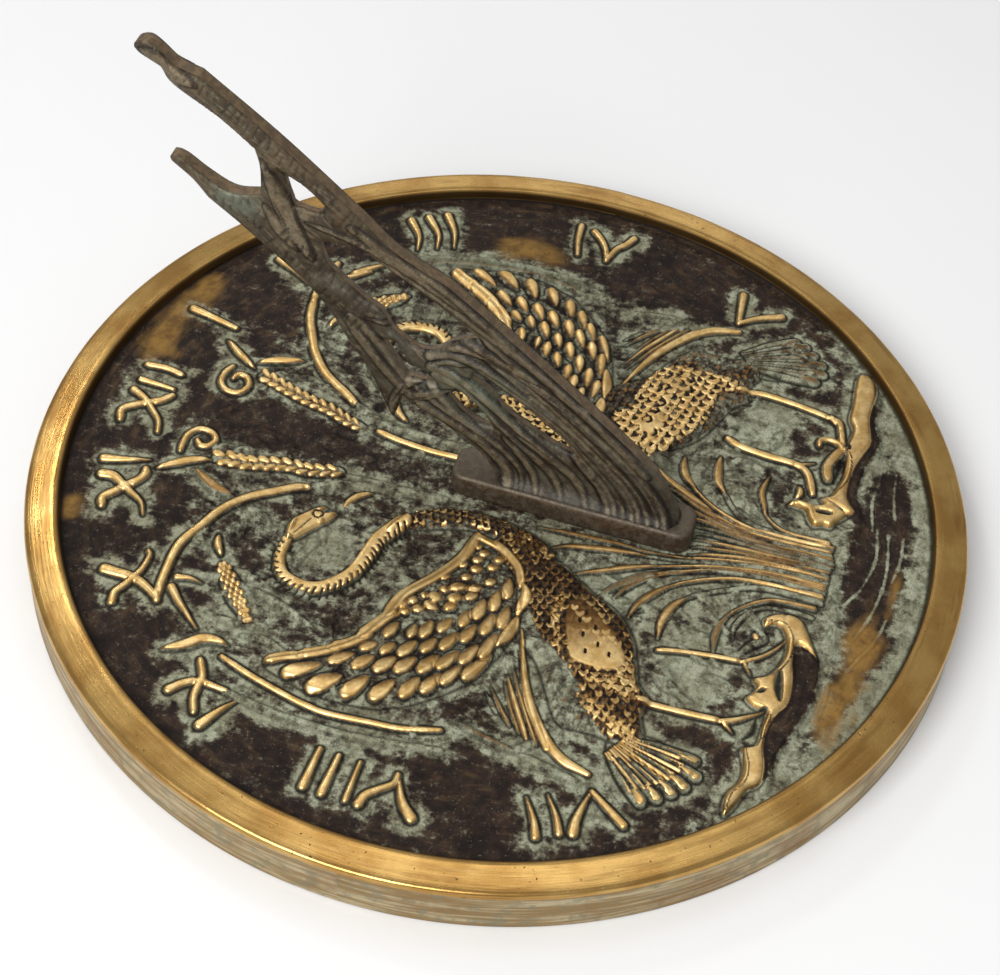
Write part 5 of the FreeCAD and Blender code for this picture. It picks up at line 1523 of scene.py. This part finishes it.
def dial_finish():
    """Polished high metal over a plum and verdigris patina."""
    f = Finish("dial_brass_patina")
    f.shader.inputs["Specular IOR Level"].default_value = 0.12
    fine = f.noise(0.55, 3.0, 0.6)
    grain = f.noise(1.4, 5.0, 0.65, shift=0.03)
    middle = f.noise(4.0, 6.0, 0.62, shift=0.05)
    large = f.noise(16.0, 4.0, 0.55, shift=0.09)
    zone = f.mark("zone")
    rim = f.times(f.fade(zone, 0.3, 0.7), f.fade(zone, 1.7, 1.3))
    wall = f.times(f.fade(zone, 1.3, 1.7), f.fade(zone, 2.7, 2.3))
    under = f.fade(zone, 2.3, 2.7)

    around, radius = turned_place(f)
    sweep = f.noise(2.2, 5.0, 0.65, (1.0, 0.22, 1.0), around, shift=0.17)
    wisp = f.noise(2.6, 6.0, 0.7, (1.0, 0.4, 1.0), shift=0.13)
    dark = f.mix(f.fade(middle, 0.35, 0.7), PLUM, PLUM_WARM)
    dark = f.mix(f.times(f.fade(sweep, 0.50, 0.66), 0.55), dark, srgb(74, 58, 42))
    dark = f.mix(f.times(f.fade(large, 0.50, 0.60), 0.5), dark, srgb(24, 18, 16))
    dust = f.times(f.fade(fine, 0.58, 0.68), f.fade(grain, 0.48, 0.60))
    dark = f.mix(f.times(dust, 0.7), dark, srgb(122, 114, 98))
    pale = f.mix(f.fade(f.blend(0.35, middle, grain), 0.42, 0.60), VERDIGRIS, VERDIGRIS_PALE)
    pale = f.mix(f.times(f.fade(large, 0.45, 0.62), 0.45), pale, srgb(126, 120, 94))
    pale = f.mix(f.times(f.fade(wisp, 0.52, 0.66), 0.35), pale, GREY_CRUST)
    pale = f.mix(f.times(f.fade(fine, 0.48, 0.36), 0.4), pale, srgb(62, 58, 48))
    crust = f.add(f.mark("green"), f.times(f.add(middle, -0.5), 1.5))
    crust = f.add(crust, f.times(f.add(wisp, -0.5), 1.9))
    crust = f.add(crust, f.times(f.add(grain, -0.5), 1.3))
    ground = f.mix(f.fade(crust, 0.16, 0.52), dark, GREY_CRUST)
    ground = f.mix(f.fade(crust, 0.34, 0.86), ground, pale)
    ochre = f.add(f.mark("ochre"), f.times(f.add(middle, -0.5), 0.7))
    ochre = f.add(ochre, f.times(f.add(sweep, -0.5), 0.8))
    stain = f.times(f.fade(ochre, 0.0, 1.0), 0.8)
    ground = f.mix(stain, ground, f.mix(f.fade(middle, 0.42, 0.66), OCHRE, srgb(112, 82, 42)))
    ground = f.mix(f.times(f.mark("soot"), f.blend(middle, 0.85, 1.0)), ground, SOOT)

    worn = f.add(f.mark("polish"), f.times(f.add(grain, -0.5), 0.28))
    bare = f.fade(worn, 0.30, 0.62)
    gold = f.mix(f.times(f.fade(middle, 0.38, 0.62), 0.75), GOLD, GOLD_DEEP)
    gold = f.mix(f.times(f.fade(fine, 0.60, 0.70), 0.25), gold, GOLD_BROWN)
    gold = f.mix(f.fade(worn, 0.85, 0.45), gold, GOLD_BROWN)
    colour = f.mix(bare, ground, gold)

    brushed = f.noise(0.5, 3.0, 0.6, (1.0, 0.03, 1.0), around)
    streak = f.noise(3.0, 4.0, 0.6, (1.0, 0.12, 2.5), around)
    rim_gold = f.mix(f.fade(large, 0.38, 0.62), srgb(204, 165, 98), srgb(180, 138, 76))
    rim_gold = f.mix(f.times(f.fade(streak, 0.50, 0.68), 0.45), rim_gold, GOLD_BROWN)
    rim_gold = f.mix(f.times(f.fade(brushed, 0.55, 0.70), 0.25), rim_gold, srgb(226, 190, 124))
    pits = f.fade(f.noise(1.1, 2.0, 0.5, shift=0.2), 0.70, 0.76)
    rim_gold = f.mix(f.times(pits, 0.7), rim_gold, srgb(70, 46, 26))
    shoulder = f.fade(radius, CROWN_RADIUS - 0.7, RIM_INNER)
    rim_gold = f.mix(f.times(shoulder, 0.85), rim_gold, srgb(62, 44, 28))
    colour = f.mix(rim, colour, rim_gold)
    weather = f.mix(f.fade(streak, 0.36, 0.60), srgb(190, 176, 144), srgb(150, 126, 86))
    weather = f.mix(f.times(f.fade(middle, 0.48, 0.66), 0.7), weather, srgb(138, 134, 112))
    weather = f.mix(f.times(f.fade(large, 0.47, 0.72), 0.55), weather, srgb(134, 98, 56))
    colour = f.mix(wall, colour, weather)
    raw = f.mix(f.fade(middle, 0.4, 0.6), srgb(150, 118, 70), srgb(104, 84, 56))
    raw = f.mix(f.times(f.fade(grain, 0.5, 0.66), 0.6), raw, srgb(116, 120, 98))
    colour = f.mix(under, colour, raw)

    metal = bare
    metal = f.blend(rim, metal, 1.0)
    metal = f.blend(wall, metal, 0.75)
    metal = f.blend(under, metal, 0.8)
    rough_ground = f.blend(f.fade(crust, 0.35, 0.7), f.blend(grain, 0.45, 0.7), 0.85)
    rough = f.blend(bare, rough_ground, f.blend(grain, 0.30, 0.52))
    rough = f.blend(rim, rough, f.blend(shoulder, f.blend(streak, 0.18, 0.36), 0.6))
    rough = f.blend(wall, rough, f.blend(middle, 0.42, 0.72))
    rough = f.blend(under, rough, 0.62)

    height = f.blend(bare, f.add(f.times(fine, 0.3), f.times(grain, 0.8)), f.times(grain, 0.1))
    height = f.blend(rim, height, f.add(f.times(brushed, 0.22), f.times(pits, -0.8)))
    height = f.blend(wall, height, f.add(f.times(streak, 0.6), f.times(grain, 0.8)))
    return f.finish(colour, metal, rough, f.bump(height, 0.22, 0.8))


def gnomon_finish():
    """Dark statuary bronze, greyer and greener low down, with rubbed ridges."""
    f = Finish("gnomon_bronze_patina")
    fine = f.noise(0.6, 3.0, 0.6, shift=0.4)
    grain = f.noise(1.8, 5.0, 0.65, shift=0.45)
    middle = f.noise(6.0, 5.0, 0.6, shift=0.5)
    split = f.node("ShaderNodeSeparateXYZ")
    f.plug(split.inputs[0], f.place)
    height = f.times(split.outputs[2], 1.0 / MM)
    block = f.fade(f.mark("zone"), 0.3, 0.7)
    lean = f.node("ShaderNodeMapping")
    f.plug(lean.inputs["Vector"], f.place)
    lean.inputs["Rotation"].default_value = (-STYLE_ANGLE, 0.0, 0.0)
    grainy = f.noise(1.1, 4.0, 0.65, (1.0, 0.16, 1.0), lean.outputs["Vector"], shift=0.6)
    low = f.mix(f.fade(middle, 0.38, 0.62), srgb(90, 86, 74), srgb(66, 56, 46))
    high = f.mix(f.fade(middle, 0.38, 0.62), srgb(95, 81, 60), srgb(68, 57, 42))
    colour = f.mix(f.fade(height, 55.0, 100.0), low, high)
    colour = f.mix(f.times(f.mark("green"), f.fade(middle, 0.30, 0.55)), colour, srgb(108, 113, 97))
    colour = f.mix(f.times(f.fade(grain, 0.54, 0.68), 0.55), colour, srgb(116, 118, 104))
    colour = f.mix(f.times(f.fade(grainy, 0.52, 0.66), 0.45), colour, srgb(54, 45, 36))
    colour = f.mix(f.times(f.fade(grainy, 0.46, 0.36), 0.4), colour, srgb(138, 126, 102))
    colour = f.mix(f.times(f.mark("soot"), 0.95), colour, srgb(27, 21, 17))
    rubbed = f.fade(f.add(f.mark("polish"), f.times(f.add(grain, -0.5), 1.2)), 0.75, 1.1)
    colour = f.mix(f.times(rubbed, 0.5), colour, srgb(138, 124, 100))
    # Painted highlight: above the base, the blade's flat edge is painted lighter, as the light from above
    # catches it.
    flat = f.times(f.fade(f.mark("edge"), 0.4, 0.9), f.fade(height, 20.0, 45.0))
    edge = f.mix(f.fade(grain, 0.4, 0.62), srgb(134, 112, 84), srgb(102, 84, 64))
    colour = f.mix(f.times(flat, 0.75), colour, edge)
    plinth = f.mix(f.fade(grain, 0.4, 0.65), srgb(78, 64, 50), srgb(104, 92, 78))
    top = f.fade(height, FLOOR + BASE_HEIGHT - 1.0, FLOOR + BASE_HEIGHT - 0.4)
    plinth_top = f.mix(f.fade(grain, 0.4, 0.6), srgb(110, 100, 84), srgb(72, 64, 52))
    plinth = f.mix(f.times(top, 0.55), plinth, plinth_top)
    colour = f.mix(block, colour, plinth)
    colour = f.mix(f.times(f.fade(fine, 0.6, 0.7), 0.25), colour, srgb(36, 30, 26))
    rough = f.blend(grain, 0.34, 0.62)
    bumps = f.add(f.times(fine, 0.4), grain)
    return f.finish(colour, 0.55, rough, f.bump(bumps, 0.28, 0.8))


def fastener_finish():
    """Turned yellow brass, a little dulled, for the screws and washers."""
    f = Finish("fastener_brass")
    middle = f.noise(1.5, 5.0, 0.6, shift=0.7)
    lathe = f.noise(0.25, 2.0, 0.5, (1.0, 1.0, 0.2), shift=0.8)
    colour = f.mix(f.fade(middle, 0.38, 0.64), srgb(214, 176, 98), srgb(164, 124, 62))
    colour = f.mix(f.times(f.fade(middle, 0.62, 0.74), 0.6), colour, srgb(96, 84, 58))
    rough = f.blend(middle, 0.24, 0.5)
    return f.finish(colour, 1.0, rough, f.bump(f.add(lathe, middle), 0.05, 0.6))


def floor_finish():
    """Pale matt paper."""
    f = Finish("studio_floor")
    soft = f.noise(300.0, 2.0, 0.5)
    colour = f.mix(soft, (0.86, 0.86, 0.86, 1.0), (0.9, 0.9, 0.9, 1.0))
    return f.finish(colour, 0.0, 0.9, f.bump(soft, 0.01, 0.1))


# ================================================================ studio and camera
ROOM_BRIGHTNESS = 0.41


def make_floor():
    """A large pale floor under the dial."""
    half = 3.0
    corners = [(-half, -half, 0), (half, -half, 0), (half, half, 0), (-half, half, 0)]
    mesh = bpy.data.meshes.new("studio_floor")
    mesh.from_pydata(corners, [], [(0, 1, 2, 3)])
    mesh.materials.append(floor_finish())
    floor = bpy.data.objects.new("studio_floor", mesh)
    bpy.context.scene.collection.objects.link(floor)


def add_softbox(name, place, size, watts):
    """A white rectangular light at a place in metres, aimed at the dial's centre."""
    lamp = bpy.data.lights.new(name, "AREA")
    lamp.shape = "RECTANGLE"
    lamp.size, lamp.size_y = size
    lamp.energy = watts
    holder = bpy.data.objects.new(name, lamp)
    holder.location = place
    holder.rotation_mode = "QUATERNION"
    holder.rotation_quaternion = (-Vector(place)).to_track_quat("-Z", "Y")
    bpy.context.scene.collection.objects.link(holder)


def make_light():
    """Plain soft studio light: a pale room and four softboxes."""
    world = bpy.data.worlds.new("studio")
    bpy.context.scene.world = world
    world.use_nodes = True
    background = world.node_tree.nodes["Background"]
    background.inputs["Color"].default_value = (1.0, 1.0, 1.0, 1.0)
    background.inputs["Strength"].default_value = ROOM_BRIGHTNESS
    add_softbox("top", (0.26, 0.06, 0.96), (0.5, 0.4), 1.05)
    add_softbox("edge", (0.44, 0.52, 0.73), (0.11, 0.11), 0.85)
    add_softbox("far", (1.3, 0.28, 0.64), (0.7, 0.3), 0.6)
    add_softbox("window", (-1.0, 0.3, 1.0), (0.9, 0.7), 17.0)
    bpy.context.scene.view_settings.view_transform = "Standard"


CAMERA_AZIMUTH = math.radians(-76.08)
CAMERA_ELEVATION = math.radians(49.09)
CAMERA_ROLL = math.radians(4.71)
CAMERA_DISTANCE = 582.8
# How far the camera stands to the right of and above the line to the part's origin.
CAMERA_ASIDE = (0.042, 8.227)
FOCAL_LENGTH = 75.9546
SENSOR_WIDTH = 36.0


def make_camera():
    """The photograph's viewpoint: from the morning side, looking down at the gnomon."""
    flat = math.cos(CAMERA_ELEVATION)
    back = Vector((math.sin(CAMERA_AZIMUTH) * flat, -math.cos(CAMERA_AZIMUTH) * flat,
                   math.sin(CAMERA_ELEVATION)))
    right = Vector((math.cos(CAMERA_AZIMUTH), math.sin(CAMERA_AZIMUTH), 0.0))
    up = back.cross(right)
    place = back * CAMERA_DISTANCE + right * CAMERA_ASIDE[0] + up * CAMERA_ASIDE[1]
    across = right * math.cos(CAMERA_ROLL) + up * math.sin(CAMERA_ROLL)
    above = up * math.cos(CAMERA_ROLL) - right * math.sin(CAMERA_ROLL)
    lens = bpy.data.cameras.new("photo_camera")
    lens.sensor_width = SENSOR_WIDTH
    lens.lens = FOCAL_LENGTH
    lens.clip_start = 0.01
    lens.clip_end = 20.0
    camera = bpy.data.objects.new("photo_camera", lens)
    turn = Matrix((across, above, back)).transposed().to_4x4()
    camera.matrix_world = Matrix.Translation(place * MM) @ turn
    bpy.context.scene.collection.objects.link(camera)
    bpy.context.scene.camera = camera


# ================================================================ build
dial = make_dial()
dial.data.materials.append(dial_finish())
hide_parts("dial_plate")

gnomon = make_gnomon()
gnomon.data.materials.append(gnomon_finish())
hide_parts("gnomon")

brass = fastener_finish()
for fastener in ("toe_screw", "heel_screw", "toe_washer", "heel_washer"):
    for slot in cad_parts[fastener].material_slots:
        slot.material = brass

make_floor()
make_light()
make_camera()
